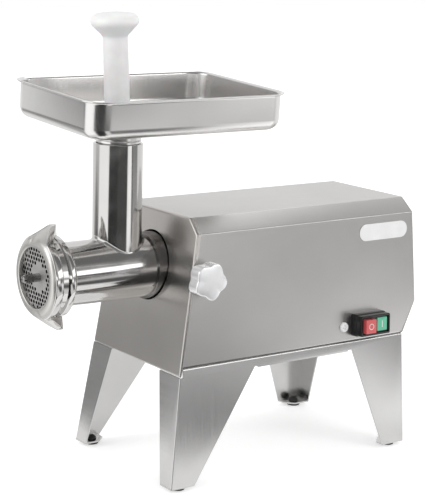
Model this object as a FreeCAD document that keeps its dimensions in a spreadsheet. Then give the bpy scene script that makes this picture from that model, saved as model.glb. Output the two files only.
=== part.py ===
"""Electric meat grinder: a folded sheet housing on four legs, a geared motor and a removable grinder head.

Millimetres. +Z is up, the discharge end looks along -Y, and the clamp knob and switch are on the +X side.
The origin is on the floor, under the middle of the machine.
"""
import FreeCAD, Part
import math
import os
import re

import Sketcher
from FreeCAD import Placement, Rotation, Vector

doc = FreeCAD.newDocument("meat_grinder")
sheet = doc.addObject("Spreadsheet::Sheet", "Sizes")

# Driving dimensions in millimetres and degrees, each with what it measures
SIZES = {
    # housing
    "cover_top": (316.5, "height of the cover's flat top"),
    "cover_top_half": (69.0, "half width of the flat top"),
    "cover_bend_z": (300.0, "height of the bend between chamfer and side"),
    "cover_bend_half": (88.8, "half width at that bend"),
    "seam_z": (145.5, "height of the seam between cover and base"),
    "seam_half": (96.5, "half width at the seam"),
    "sheet_thick": (1.5, "sheet of the cover and rear panel"),
    "panel_thick": (2.0, "sheet of the front panel"),
    "front_top_y": (-77.0, "front edge of the top"),
    "front_seam_y": (-103.3, "front face at seam height"),
    "panel_drop": (11.0, "how far the front panel hangs below the seam"),
    "panel_round": (1.4, "rounded rim of the front panel"),
    "rear_top_y": (251.5, "rear edge of the top"),
    "rear_bulge_y": (259.0, "rearmost line of the rear panel"),
    "rear_bulge_z": (185.0, "height of that line"),
    "rear_seam_y": (239.0, "rear panel at seam height"),
    # base
    "leg_thick": (2.0, "sheet of the leg frames"),
    "foot_plane": (4.0, "underside of the leg frames"),
    "foot_half": (109.9, "half width over the legs at their feet"),
    "leg_front_y": (-122.6, "front edge of the front legs at their feet"),
    "leg_rear_inset": (1.5, "rear edge of the rear legs before the rear panel"),
    "rail_depth": (11.5, "height of the side rail"),
    "rail_setback": (1.0, "rail behind the front panel"),
    "front_leg_root": (108.0, "width of a front leg under the rail"),
    "front_leg_foot": (33.0, "width of a front leg at its foot"),
    "rear_leg_root": (83.0, "width of a rear leg under the rail"),
    "rear_leg_foot": (35.5, "width of a rear leg at its foot"),
    "flange_root": (44.0, "width of a leg's end flange under the rail"),
    "flange_foot": (24.0, "width of a leg's end flange at its foot"),
    "lip_width": (14.0, "inward lip under the rail"),
    "lip_relief": (6.0, "cut-out between the lip and a leg"),
    "deck_flange": (16.0, "inward flange that carries the base plate"),
    "deck_thick": (2.0, "base plate"),
    "deck_gap": (0.7, "base plate inside the cover and panels"),
    "slot_length": (70.0, "ventilation slot in the base plate"),
    "slot_width": (6.0, "width of that slot"),
    "slot_pitch": (16.0, "spacing of the slots"),
    "foot_radius": (9.0, "rubber foot"),
    "foot_stem": (4.0, "stem of the foot through its tab"),
    "foot_cap": (6.5, "rounded cap of the foot above its tab"),
    # badge, side screws and gland
    "badge_length": (78.0, "blank badge plate"),
    "badge_height": (21.0, "its height"),
    "badge_thick": (0.8, "its thickness"),
    "badge_y": (204.0, "its middle"),
    "badge_z": (279.7, "its middle"),
    "screw_y": (141.0, "side screw"),
    "screw_z": (164.0, "side screw"),
    "screw_head": (6.3, "radius of its head"),
    "screw_head_high": (3.0, "height of its head"),
    "screw_shank": (2.5, "radius of its shank"),
    "screw_length": (9.0, "shank behind the sheet"),
    "screw_clear": (0.4, "clearance around the shank"),
    "screw_tab": (22.0, "width of the tab that takes the screw"),
    "gland_x": (-45.0, "cable gland under the base plate"),
    "gland_y": (214.0, "cable gland"),
    "gland_radius": (10.0, "nuts of the gland"),
    "gland_nut": (4.0, "height of the nut inside"),
    "gland_wall": (2.0, "wall of the gland"),
    "gland_drop": (16.0, "how far it stands below the base plate"),
    "cable_radius": (4.0, "bore of the gland"),
    # switch
    "switch_y": (177.7, "middle of the switch"),
    "switch_z": (165.5, "middle of the switch"),
    "switch_length": (48.5, "switch housing along the machine"),
    "switch_height": (27.0, "its height"),
    "switch_out": (19.0, "how far it stands off the cover"),
    "switch_wall": (3.2, "rim around its recess"),
    "switch_round": (2.5, "rounded corners of the housing"),
    "recess_depth": (3.0, "recess around the buttons"),
    "button_width": (16.5, "button along the machine"),
    "button_height": (17.4, "button upwards"),
    "button_spacing": (23.0, "from one button to the other"),
    "button_gap": (0.35, "clearance around a button"),
    "button_round": (1.2, "rounded corners of a button"),
    "button_seat": (4.5, "rear of a button off the cover"),
    "button_travel": (3.0, "travel of a button"),
    "button_spare": (0.5, "room behind a pressed button"),
    "stop_out": (5.0, "stop button beyond the housing"),
    "start_in": (1.5, "start button inside the housing"),
    "block_depth": (30.0, "contact block behind the cover"),
    "block_margin": (3.0, "housing beyond the contact block"),
    "block_gap": (0.5, "contact block in the cover's window"),
    # fits
    "run_gap": (0.05, "radial clearance of a running fit"),
    "seat_gap": (0.1, "clearance of a seated piece"),
    "press_gap": (0.02, "radial clearance of a tight seat"),
    # hub and clamp
    "axis_z": (249.5, "height of the grinding axis"),
    "hub_front_y": (-98.0, "front face of the hub socket"),
    "hub_radius": (40.0, "outside of the hub socket"),
    "hub_hole_gap": (1.6, "gap around the hub in the front panel"),
    "hub_flange_radius": (50.0, "hub flange on the gearbox"),
    "hub_flange": (10.0, "thickness of that flange"),
    "hub_lip": (2.0, "shoulder in front of the bearing seat"),
    "spigot_radius": (34.0, "spigot of the grinder head"),
    "spigot_length": (38.0, "spigot inside the hub"),
    "clamp_y": (-76.8, "axis of the clamp"),
    "spindle_radius": (5.0, "clamp spindle"),
    "spindle_tip": (3.0, "spindle inside the swivel pad"),
    "clamp_boss": (8.0, "threaded boss on the hub"),
    "clamp_boss_out": (54.0, "outer end of that boss from the grinding axis"),
    "pad_radius": (5.0, "swivel pad"),
    "pad_thick": (4.0, "swivel pad"),
    "keyway_depth": (1.6, "flat that the pad presses on"),
    "keyway_half": (6.5, "half height of that flat"),
    "knob_radius": (22.2, "over the lobes of the knob"),
    "knob_valley": (18.4, "between the lobes of the knob"),
    "knob_scoop": (12.0, "radius of the hollows between the lobes"),
    "knob_lobe": (4.0, "rounding of the lobes"),
    "knob_thick": (18.0, "thickness of the knob"),
    "knob_gap": (8.0, "knob's back off the cover"),
    "knob_turn": (63.0, "angle of the first lobe from the rear"),
    "knob_round": (1.6, "rounded rims of the knob"),
    "knob_boss": (10.0, "boss behind the knob"),
    "knob_boss_gap": (1.5, "that boss off the cover"),
    # grinder head
    "column_y": (-133.0, "axis of the feed column"),
    "column_radius": (29.2, "outside of the column"),
    "column_bore": (26.0, "inside of the column"),
    "column_top": (399.2, "top of the column"),
    "column_blend": (5.0, "rounding where the column meets the barrel"),
    "barrel_radius": (37.3, "outside of the barrel"),
    "barrel_bore": (33.0, "inside of the barrel"),
    "barrel_back": (8.0, "solid wall at the rear of the bore"),
    "head_front_y": (-236.2, "front end of the barrel"),
    "thread_radius": (44.5, "outside of the barrel's thread"),
    "thread_length": (20.5, "length of that thread"),
    "plate_radius": (41.0, "grinding plate"),
    "plate_depth": (10.0, "its thickness"),
    "plate_proud": (1.0, "how far the plate stands out of the barrel"),
    "plate_hole": (2.2, "radius of a hole in the plate"),
    "plate_pitch": (5.9, "spacing of those holes"),
    "plate_plain": (14.5, "plain middle of the plate"),
    "plate_rim": (5.0, "plain rim of the plate"),
    "key_width": (5.0, "key that stops the plate turning"),
    "key_in": (3.0, "how far the key reaches into the plate"),
    "key_out": (1.5, "how far the key reaches into the barrel"),
    "knife_depth": (10.0, "thickness of the knife"),
    "knife_room": (1.0, "free depth behind the knife"),
    "knife_reach": (38.5, "tip radius of the knife"),
    "knife_arm": (13.0, "width of a knife arm at the hub"),
    "knife_tip": (9.0, "width of a knife arm at its tip"),
    "knife_hub": (13.5, "radius of the knife's hub"),
    "drive_square": (15.0, "square that drives the knife"),
    "auger_radius": (32.3, "tip of the auger's flight"),
    "auger_core": (15.0, "core of the auger"),
    "auger_pitch": (37.0, "pitch of the flight"),
    "auger_flight": (6.0, "thickness of the flight"),
    "auger_end": (2.0, "core beyond each end of the flight"),
    "journal_radius": (13.0, "rear journal of the auger"),
    "bush_radius": (17.0, "outside of the auger's bush"),
    "tang_square": (15.6, "square tang that drives the auger"),
    "tang_length": (12.0, "length of the tang"),
    "stud_radius": (5.0, "stud through the plate"),
    "stud_tip_y": (-259.0, "tip of the stud"),
    "stud_round": (3.5, "rounded tip of the stud"),
    "stud_depth": (22.0, "stud inside the auger"),
    # ring nut
    "nut_opening": (35.5, "radius of the discharge opening"),
    "nut_front_y": (-244.2, "front face of the ring nut"),
    "nut_rear_y": (-215.7, "rear edge of the ring nut"),
    "nut_radius": (48.5, "outside of the ring nut"),
    "nut_face": (40.5, "outer radius of its flat front"),
    "nut_rear_radius": (46.6, "outside at its rear edge"),
    "nut_bevel": (3.0, "depth of its bevelled front"),
    "nut_brow": (46.0, "radius behind that bevel"),
    "nut_shoulder": (16.0, "where the nut is widest, behind its front"),
    "nut_round": (5.0, "rounding of the front"),
    "ear_reach": (59.5, "tip radius of an ear"),
    "ear_back": (4.5, "ear tip behind the nut's rear edge"),
    "ear_tip": (7.0, "thickness of an ear at its tip"),
    "ear_root": (19.0, "thickness of an ear at its root"),
    "ear_width": (40.0, "width of an ear at its root"),
    "ear_tip_width": (11.0, "width of an ear at its tip"),
    "ear_turn": (8.5, "turn of the ears from upright"),
    # tray and plunger
    "tray_width": (194.0, "rim of the tray across the machine"),
    "tray_length": (273.0, "rim of the tray along the machine"),
    "tray_middle": (42.2, "middle of the tray behind the column"),
    "tray_height": (43.9, "floor to rim"),
    "tray_lip": (3.2, "flat lip around the rim"),
    "tray_corner": (24.0, "corner radius of the walls"),
    "tray_bottom": (13.0, "radius between walls and floor"),
    "tray_sheet": (1.2, "sheet of the tray"),
    "tray_lean": (3.3, "lean of the loosely seated tray"),
    "collar_radius": (26.9, "collar under the tray"),
    "collar_spigot": (24.2, "collar inside the column"),
    "collar_wall": (1.6, "wall of the collar's spigot"),
    "collar_neck": (21.3, "underside of the floor above the column"),
    "collar_depth": (20.0, "collar inside the column"),
    "plunger_radius": (14.7, "stem of the plunger"),
    "plunger_head": (28.4, "head of the plunger"),
    "plunger_neck": (523.0, "where stem and head meet"),
    "plunger_flare": (16.5, "height of the head's cone"),
    "plunger_dome": (10.7, "height of the head above its cone"),
    "plunger_crown": (8.0, "rounding of the crown"),
    "plunger_edge": (2.5, "rounding of the stem's end"),
    "plunger_lean": (3.0, "lean of the loose plunger"),
    "plunger_pivot": (407.0, "height where the plunger crosses the column's axis"),
    "plunger_clear": (0.8, "plunger above the auger"),
    # gearbox
    "gear_module": (1.5, "module of both gear stages"),
    "pinion_teeth": (18.0, "teeth of both pinions"),
    "wheel_teeth": (54.0, "teeth of both wheels"),
    "backlash": (0.3, "backlash of the gears"),
    "gear_face": (16.0, "face width of a wheel"),
    "pinion_extra": (1.0, "pinion beyond each side of its wheel"),
    "stage_gap": (6.0, "room between the two gear stages"),
    "box_front_y": (-22.0, "front face of the gearbox"),
    "box_front": (12.0, "front wall of the gearbox"),
    "box_wall": (4.0, "side wall of the gearbox"),
    "box_room": (2.0, "room around the gears"),
    "box_space": (10.0, "free depth in front of the first wheel"),
    "box_end": (6.0, "free depth behind the last wheel"),
    "box_round": (9.0, "upper corners of the gearbox"),
    "lid_thick": (12.0, "rear cover of the gearbox"),
    "bolt_radius": (3.0, "gearbox bolt"),
    "bolt_head": (5.0, "radius and height of its head"),
    "bolt_grip": (8.0, "bolt inside the rear cover"),
    "bolt_inset": (7.0, "bolt from the edges of the gearbox"),
    "bearing_depth": (10.0, "width of a bearing"),
    "bearing_wall": (8.5, "radial thickness of a bearing"),
    "seal_depth": (4.0, "shaft seal"),
    "output_radius": (12.5, "output shaft"),
    "socket_radius": (17.0, "drive socket of the output shaft"),
    "socket_gap": (1.0, "socket behind the spigot"),
    "socket_depth": (12.5, "depth of its square"),
    "socket_play": (0.2, "tang in the socket, each side"),
    "counter_radius": (8.0, "countershaft"),
    # motor
    "motor_radius": (60.0, "outside of the motor shell"),
    "motor_wall": (4.0, "wall of the shell"),
    "motor_length": (126.0, "length of the shell"),
    "bell_thick": (12.0, "end bell"),
    "shaft_radius": (8.0, "motor shaft"),
    "shaft_clear": (1.0, "free hole around the motor shaft"),
    "rotor_radius": (33.0, "rotor core"),
    "air_gap": (0.5, "air gap around the rotor"),
    "core_length": (70.0, "length of rotor and stator cores"),
    "winding_length": (18.0, "end winding"),
    "winding_depth": (14.0, "radial depth of the end winding"),
    "winding_clear": (3.0, "end winding outside the rotor"),
    "stator_slot": (3.0, "width of a slot in the stator core"),
    "fan_radius": (46.0, "cooling fan"),
    "fan_hub": (14.0, "hub of the fan"),
    "fan_depth": (14.0, "width of the fan"),
    "fan_disc": (2.0, "disc and blades of the fan"),
    "fan_gap": (4.0, "fan behind the end bell"),
    "cradle_plate": (8.0, "saddle plate under the motor"),
    "cradle_half": (46.0, "half width of the cradle"),
    "cradle_base": (4.0, "base of the cradle"),
    "cradle_inset": (20.0, "saddle plate from the end of the shell"),
    "cradle_below": (30.0, "top of the cradle below the motor's axis"),
    "capacitor_radius": (18.0, "run capacitor"),
    "capacitor_length": (80.0, "run capacitor"),
    "capacitor_x": (-66.0, "run capacitor"),
    "saddle_lift": (3.0, "capacitor above the base plate"),
    "saddle_high": (9.0, "saddle of the capacitor"),
    "saddle_length": (14.0, "saddle of the capacitor"),
    "terminal_x": (32.0, "terminal block"),
    "terminal_y": (212.0, "terminal block"),
    "terminal_width": (22.0, "terminal block"),
    "terminal_length": (38.0, "terminal block"),
    "terminal_high": (16.0, "terminal block"),
    "terminal_hole": (2.2, "wire entry of the terminal block"),
}
for row, (alias, (value, note)) in enumerate(SIZES.items(), start=1):
    sheet.set(f"A{row}", alias)
    sheet.set(f"B{row}", str(value))
    sheet.set(f"C{row}", note)
    sheet.setAlias(f"B{row}", alias)
doc.recompute()

KNOB_LOBES = 5
KNIFE_ARMS = 4
FAN_BLADES = 9
STATOR_SLOTS = 24
DECK_SLOTS = 3
TERMINAL_WAYS = 4
PRESSURE_ANGLE = math.radians(20.0)
ROOT_DEPTH = 1.25
TINY = 1e-3
X_AXIS, Y_AXIS, Z_AXIS = Vector(1, 0, 0), Vector(0, 1, 0), Vector(0, 0, 1)

pieces = []


# Working with the sheet and the document

def formula(text):
    """Point every alias in a formula at its cell in the sheet."""
    return re.sub(r"[A-Za-z_]\w*", lambda word: named(word.group()), text)


def named(word):
    """A word of a formula, with the sheet's name before an alias."""
    return "Sizes." + word if word in SIZES else word


def size(alias):
    """The number that a cell holds."""
    return float(sheet.get(alias))


def bind(thing, **formulas):
    """Bind properties to formulas; a double underscore stands for a dot."""
    for name, text in formulas.items():
        thing.setExpression(name.replace("__", "."), formula(text))


def put(thing, x="0", y="0", z="0"):
    """Bind an object's place to formulas."""
    bind(thing, Placement__Base__x=x, Placement__Base__y=y, Placement__Base__z=z)


def turn(thing, axis, angle):
    """Bind an object's turn around an axis to a formula."""
    thing.Placement = Placement(thing.Placement.Base, Rotation(axis, 1))
    bind(thing, Placement__Rotation__Angle=angle)


def keep(thing, label):
    """Name a finished sub-part and put it on the list of pieces."""
    thing.Label = label
    pieces.append(thing)
    return thing


def new_body(label):
    """An empty body for one sub-part."""
    return keep(doc.addObject("PartDesign::Body", label), label)


def set_rule(sketch, kind, geometry, point, text, start):
    """Hold one measure of a sketch to a formula."""
    where = (geometry,) if point is None else (geometry, point)
    number = sketch.addConstraint(Sketcher.Constraint(kind, *where, start))
    sketch.setExpression(f"Constraints[{number}]", formula(text))


def add_circle(sketch, x, y, radius):
    """Add a circle to a sketch."""
    number = sketch.addGeometry(Part.Circle(Vector(0, 0, 0), Z_AXIS, 1.0))
    set_rule(sketch, "Radius", number, None, radius, 1.0)
    set_rule(sketch, "DistanceX", number, 3, x, 0.0)
    set_rule(sketch, "DistanceY", number, 3, y, 0.0)


def add_polygon(sketch, points):
    """Add a closed polygon of (x, y) formulas to a sketch."""
    count = len(points)
    first = sketch.GeometryCount
    step = 2 * math.pi / count
    corners = [Vector(math.cos(step * i), math.sin(step * i), 0) for i in range(count)]
    for i in range(count):
        sketch.addGeometry(Part.LineSegment(corners[i], corners[(i + 1) % count]))
    for i in range(count):
        sketch.addConstraint(Sketcher.Constraint("Coincident", first + i, 2, first + (i + 1) % count, 1))
    for i, (x, y) in enumerate(points):
        set_rule(sketch, "DistanceX", first + i, 1, x, corners[i].x)
        set_rule(sketch, "DistanceY", first + i, 1, y, corners[i].y)


def draw(body, plane, loops, offset="0"):
    """A sketch in one of the body's base planes, moved along the plane's normal.

    A loop is a list of (x, y) corners, or a circle given as (x, y, radius).
    """
    sketch = body.newObject("Sketcher::SketchObject", body.Name + "_outline")
    base = next(feature for feature in body.Origin.OriginFeatures if feature.Role == plane + "_Plane")
    sketch.AttachmentSupport = (base, [""])
    sketch.MapMode = "FlatFace"
    bind(sketch, AttachmentOffset__Base__z=offset)
    for loop in loops:
        if isinstance(loop, tuple):
            add_circle(sketch, *loop)
        else:
            add_polygon(sketch, loop)
    return sketch


# Features; the normal of the XZ plane points along -Y

PLANES = {"x": "YZ", "y": "XZ", "z": "XY"}


def slab(body, axis, loops, low, high):
    """Add material between two places along an axis."""
    start = f"-({high})" if axis == "y" else low
    pad = body.newObject("PartDesign::Pad", body.Name + "_slab")
    pad.Profile = draw(body, PLANES[axis], loops, start)
    bind(pad, Length=f"({high}) - ({low})")
    return pad


def carve(body, axis, loops, low, high):
    """Take material away between two places along an axis."""
    start = f"-({low})" if axis == "y" else high
    pocket = body.newObject("PartDesign::Pocket", body.Name + "_cut")
    pocket.Profile = draw(body, PLANES[axis], loops, start)
    bind(pocket, Length=f"({high}) - ({low})")
    return pocket


def spin(body, axis, points, groove=False):
    """Turn a profile around an axis; a point is its place along the axis, then its radius."""
    kind = "PartDesign::Groove" if groove else "PartDesign::Revolution"
    turned = body.newObject(kind, body.Name + "_turn")
    if axis == "z":
        points = [(radius, along) for along, radius in points]
    sketch = draw(body, "YZ" if axis == "y" else "XZ", [points])
    turned.Profile = sketch
    turned.ReferenceAxis = (sketch, ["V_Axis" if axis == "z" else "H_Axis"])
    turned.Angle = 360
    return turned


def loft(body, sketches, ruled):
    """Add material through a row of sketches."""
    feature = body.newObject("PartDesign::AdditiveLoft", body.Name + "_loft")
    feature.Profile = sketches[0]
    feature.Sections = sketches[1:]
    feature.Ruled = ruled
    return feature


def repeat_around(body, feature, axis, count):
    """Repeat a feature evenly around one of the body's axes."""
    doc.recompute()
    pattern = body.newObject("PartDesign::PolarPattern", body.Name + "_around")
    pattern.Originals = [feature]
    line = next(item for item in body.Origin.OriginFeatures if item.Role == axis + "_Axis")
    pattern.Axis = (line, [""])
    pattern.Angle = 360
    pattern.Occurrences = count
    body.Tip = pattern
    doc.recompute()


def soften(body, radius, test):
    """Round the edges of the body's last feature that pass a test."""
    doc.recompute()
    base = body.Tip
    names = [f"Edge{i}" for i, edge in enumerate(base.Shape.Edges, start=1) if test(edge)]
    rounded = body.newObject("PartDesign::Fillet", body.Name + "_round")
    rounded.Base = (base, names)
    bind(rounded, Radius=radius)
    doc.recompute()


def is_straight(edge):
    """Whether an edge is a straight line."""
    return isinstance(edge.Curve, (Part.Line, Part.LineSegment))


def runs_along(edge, axis):
    """Whether an edge is straight and parallel to an axis."""
    return is_straight(edge) and abs(abs(edge.tangentAt(edge.FirstParameter).dot(axis)) - 1) < TINY


def is_circle(edge, place, radius):
    """Whether an edge is a circle of a radius at a place along Y."""
    if not isinstance(edge.Curve, Part.Circle):
        return False
    return abs(edge.Curve.Radius - radius) < TINY and abs(edge.Curve.Center.y - place) < TINY


def turned_piece(label, axis, points, x="0", y="0", z="0"):
    """A sub-part that is one turned profile."""
    body = new_body(label)
    spin(body, axis, points)
    put(body, x, y, z)
    return body


def ring(low, high, inner, outer):
    """The profile of a plain ring or tube."""
    return [(low, inner), (high, inner), (high, outer), (low, outer)]


def rectangle(x, y, width, height):
    """A rectangle around a middle point."""
    left, right = f"{x} - ({width}) / 2", f"{x} + ({width}) / 2"
    low, high = f"{y} - ({height}) / 2", f"{y} + ({height}) / 2"
    return [(left, low), (right, low), (right, high), (left, high)]


def square(width):
    """A square around the axis."""
    return rectangle("0", "0", width, width)


def mirrored(source, name):
    """The same sub-part on the other side of the machine."""
    other = doc.addObject("Part::Mirroring", name)
    other.Source = source
    other.Normal = X_AXIS
    return other


# Places that several sub-parts share

WIDE = "2 * foot_half"
TALL = "2 * cover_top"
LONG = "4 * rear_bulge_y"
SIDE_LEAN = "atan((seam_half - cover_bend_half) / (cover_bend_z - seam_z))"
CHAMFER_ANGLE = "atan((cover_top - cover_bend_z) / (cover_bend_half - cover_top_half))"
DECK_TOP = "(seam_z + deck_thick)"
RAIL_LOW = "(seam_z - rail_depth)"
TAB_TOP = "(foot_plane + leg_thick)"
FOOT_X = "(foot_half - flange_foot / 2)"
SPIGOT_END = "(hub_front_y + spigot_length)"
SPIGOT_FLAT = "(spigot_radius - keyway_depth)"
BORE_REAR = "(hub_front_y + barrel_back)"
PLATE_FRONT = "(head_front_y - plate_proud)"
PLATE_REAR = "(head_front_y - plate_proud + plate_depth)"
KNIFE_FRONT = "(head_front_y - plate_proud + plate_depth + seat_gap)"
KNIFE_REAR = "(head_front_y - plate_proud + plate_depth + seat_gap + knife_depth)"
OUTPUT_SEAT = "(output_radius + bearing_wall)"
COUNTER_SEAT = "(counter_radius + bearing_wall)"
MOTOR_SEAT = "(shaft_radius + bearing_wall)"
HUB_SEAT_Y = "(box_front_y - 2 * bearing_depth - hub_lip)"
BOX_INNER_Y = "(box_front_y + box_front)"
STAGE_ONE_Y = "(box_front_y + box_front + box_space)"
STAGE_TWO_Y = "(box_front_y + box_front + box_space + gear_face + stage_gap)"
BOX_REAR_Y = "(box_front_y + box_front + box_space + 2 * gear_face + stage_gap + box_end)"
LID_REAR_Y = f"({BOX_REAR_Y} + lid_thick)"
SHELL_FRONT_Y = f"({LID_REAR_Y} + bell_thick)"
SHELL_REAR_Y = f"({SHELL_FRONT_Y} + motor_length)"
CORE_FRONT_Y = f"({SHELL_FRONT_Y} + (motor_length - core_length) / 2)"
CORE_REAR_Y = f"({CORE_FRONT_Y} + core_length)"
FAN_Y = f"({SHELL_REAR_Y} + bell_thick + fan_gap)"
GEAR_SPACING = "(gear_module * (pinion_teeth + wheel_teeth) / 2)"
COUNTER_Z = f"(axis_z - {GEAR_SPACING})"
LEG_REAR_Y = "(rear_seam_y - leg_rear_inset)"
CAVITY_RADIUS = "(gear_module * (wheel_teeth / 2 + 1) + box_room)"
BOX_HALF = f"({CAVITY_RADIUS} + box_wall)"
CAPACITOR_Z = f"({DECK_TOP} + saddle_lift + capacitor_radius)"


def front_at(height):
    """Where the sloping front face is at a height."""
    slope = "(front_top_y - front_seam_y) / (cover_top - seam_z)"
    return f"(front_top_y - (cover_top - ({height})) * {slope})"


def side_at(height):
    """Half width of the cover's side at a height between the seam and the bend."""
    slope = "(seam_half - cover_bend_half) / (cover_bend_z - seam_z)"
    return f"(cover_bend_half + (cover_bend_z - ({height})) * {slope})"


def leg_share(height):
    """How far down a splayed leg a height is, from the seam to the foot."""
    return f"((seam_z - ({height})) / (seam_z - foot_plane))"


def leg_half_at(height):
    """Half width over the splayed legs at a height."""
    return f"(seam_half + (foot_half - seam_half) * {leg_share(height)})"


def leg_front_at(height):
    """Front edge of the splayed front legs at a height."""
    return f"(front_seam_y + (leg_front_y - front_seam_y) * {leg_share(height)})"


def foot_y(front):
    """Place of a rubber foot along the machine."""
    return "(leg_front_y + front_leg_foot / 2)" if front else f"({LEG_REAR_Y} - rear_leg_foot / 2)"


def lean_on_side(body, y, z):
    """Seat a body's YZ plane on the right side of the cover."""
    turn(body, Vector(0, -1, 0), SIDE_LEAN)
    put(body, side_at(z), y, z)


# Housing and base

def section_outline(bottom, inset="0"):
    """The housing's cross-section down to a height, drawn in by a sheet."""
    bend_z = f"cover_bend_z - {inset} * tan((90 deg - {CHAMFER_ANGLE}) / 2)"
    top_half = f"cover_top_half - {inset} * tan({CHAMFER_ANGLE} / 2)"
    right = [(f"{side_at(bottom)} - {inset}", bottom), (f"cover_bend_half - {inset}", bend_z),
             (top_half, f"cover_top - {inset}")]
    return right + [(f"-({x})", z) for x, z in reversed(right)]


def trim_to_section(body, bottom):
    """Cut away what lies outside the housing's cross-section."""
    outside = rectangle("0", "cover_top / 2", f"2 * {WIDE}", TALL)
    carve(body, "y", [outside, section_outline(bottom)], f"-({LONG})", LONG)


def cover_window(body):
    """Cut the holes for the clamp spindle, the contact block and the side screws."""
    carve(body, "x", [("clamp_y", "axis_z", "spindle_radius + shaft_clear")], "0", WIDE)
    window = rectangle("switch_y", "switch_z", "switch_length - 2 * block_margin + 2 * block_gap",
                       "switch_height - 2 * block_margin + 2 * block_gap")
    carve(body, "x", [window], "0", WIDE)
    carve(body, "x", [("screw_y", "screw_z", "screw_shank + screw_clear")], f"-{WIDE}", WIDE)


def build_cover():
    """Folded cover: sides, chamfers and top in one sheet, open at the front, rear and bottom."""
    body = new_body("housing_cover")
    inner = section_outline("seam_z", "sheet_thick")
    slab(body, "y", [section_outline("seam_z") + list(reversed(inner))], f"-({LONG})", LONG)
    front = [(f"{front_at(TALL)} + panel_thick", TALL), (f"{front_at('0')} + panel_thick", "0"),
             (f"-2 * {LONG}", "0"), (f"-2 * {LONG}", TALL)]
    carve(body, "x", [front], f"-{WIDE}", WIDE)
    rear = [("rear_top_y", TALL), ("rear_top_y", "cover_top"), ("rear_bulge_y", "rear_bulge_z"),
            ("rear_seam_y", "seam_z"), ("rear_seam_y", "0")]
    rear = [(f"{y} - sheet_thick", z) for y, z in rear]
    carve(body, "x", [rear + [(f"2 * {LONG}", "0"), (f"2 * {LONG}", TALL)]], f"-{WIDE}", WIDE)
    cover_window(body)


def build_front_panel():
    """Sloping front panel with the hub hole; it hangs over the front of the base."""
    body = new_body("front_panel")
    low = "(seam_z - panel_drop)"
    outer = [(front_at(low), low), (front_at("cover_top"), "cover_top")]
    inner = [(f"{y} + panel_thick", z) for y, z in reversed(outer)]
    slab(body, "x", [outer + inner], f"-{WIDE}", WIDE)
    trim_to_section(body, low)
    carve(body, "y", [("0", "axis_z", "hub_radius + hub_hole_gap")], f"-({LONG})", LONG)
    slope = (size("front_top_y") - size("front_seam_y")) / (size("cover_top") - size("seam_z"))

    def on_outer_face(vertex):
        """Whether a corner lies in the sloping front plane."""
        return abs(vertex.Y - size("front_top_y") + slope * (size("cover_top") - vertex.Z)) < TINY
    soften(body, "panel_round", lambda edge: is_straight(edge) and all(map(on_outer_face, edge.Vertexes)))


def build_rear_panel():
    """Rear panel, bent in under its rearmost line."""
    body = new_body("rear_panel")
    outer = [("rear_top_y", "cover_top"), ("rear_bulge_y", "rear_bulge_z"), ("rear_seam_y", "seam_z")]
    inner = [(f"{y} - sheet_thick", z) for y, z in reversed(outer)]
    slab(body, "x", [outer + inner], f"-{WIDE}", WIDE)
    trim_to_section(body, "seam_z")


def leg_section(front, part, height):
    """The L-shaped section of a leg at a height: its side strip and its end flange."""
    which, sign = ("front", "1") if front else ("rear", "-1")
    edge = leg_front_at(height) if front else LEG_REAR_Y
    out = leg_half_at(height)
    inside = f"{out} - leg_thick"
    strip = f"{edge} + {sign} * {which}_leg_{part}"
    behind = f"{edge} + {sign} * leg_thick"
    flange = f"{out} - flange_{part}"
    return [(out, edge), (out, strip), (inside, strip), (inside, behind), (flange, behind), (flange, edge)]


def foot_tab(front):
    """The tab folded in at the bottom of a leg, with its inner corner cut off."""
    which, sign = ("front", "1") if front else ("rear", "-1")
    edge = "leg_front_y" if front else LEG_REAR_Y
    out = leg_half_at(TAB_TOP)
    far = f"{edge} + {sign} * {which}_leg_foot"
    inner = "foot_half - flange_foot"
    cut = f"{far} - {sign} * flange_foot / 2"
    return [(out, edge), (out, far), (FOOT_X, far), (inner, cut), (inner, edge)]


def build_leg_frames():
    """Each side's folded frame: rail, two tapering legs with end flanges, lips and foot tabs."""
    body = new_body("right_leg_frame")
    rail_front = f"{front_at('seam_z')} + panel_thick + rail_setback"
    ends = []
    for height in ("seam_z", RAIL_LOW):
        out = leg_half_at(height)
        strip = [(f"{out} - leg_thick", rail_front), (out, rail_front), (out, LEG_REAR_Y),
                 (f"{out} - leg_thick", LEG_REAR_Y)]
        ends.append(draw(body, "XY", [strip], height))
    loft(body, ends, True)
    for front in (True, False):
        ends = [draw(body, "XY", [leg_section(front, part, height)], height)
                for part, height in (("root", RAIL_LOW), ("foot", "foot_plane"))]
        loft(body, ends, True)
    middle = "seam_half - leg_thick / 2"
    deck = [(middle, rail_front), (middle, LEG_REAR_Y), (f"{middle} - deck_flange", LEG_REAR_Y),
            (f"{middle} - deck_flange", rail_front)]
    slab(body, "z", [deck], "seam_z - leg_thick", "seam_z")
    lip_half = f"{leg_half_at(RAIL_LOW)} - leg_thick / 4"
    lip_front = f"{leg_front_at(RAIL_LOW)} + front_leg_root + lip_relief"
    lip_rear = f"{LEG_REAR_Y} - rear_leg_root - lip_relief"
    lip = [(lip_half, lip_front), (lip_half, lip_rear), (f"{lip_half} - lip_width", lip_rear),
           (f"{lip_half} - lip_width", lip_front)]
    slab(body, "z", [lip], f"{RAIL_LOW} - leg_thick", RAIL_LOW)
    for front in (True, False):
        slab(body, "z", [foot_tab(front)], "foot_plane", TAB_TOP)
        carve(body, "z", [(FOOT_X, foot_y(front), "foot_stem + press_gap")], "0", TAB_TOP)
    keep(mirrored(body, "left_leg_frame"), "left_leg_frame")


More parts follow.
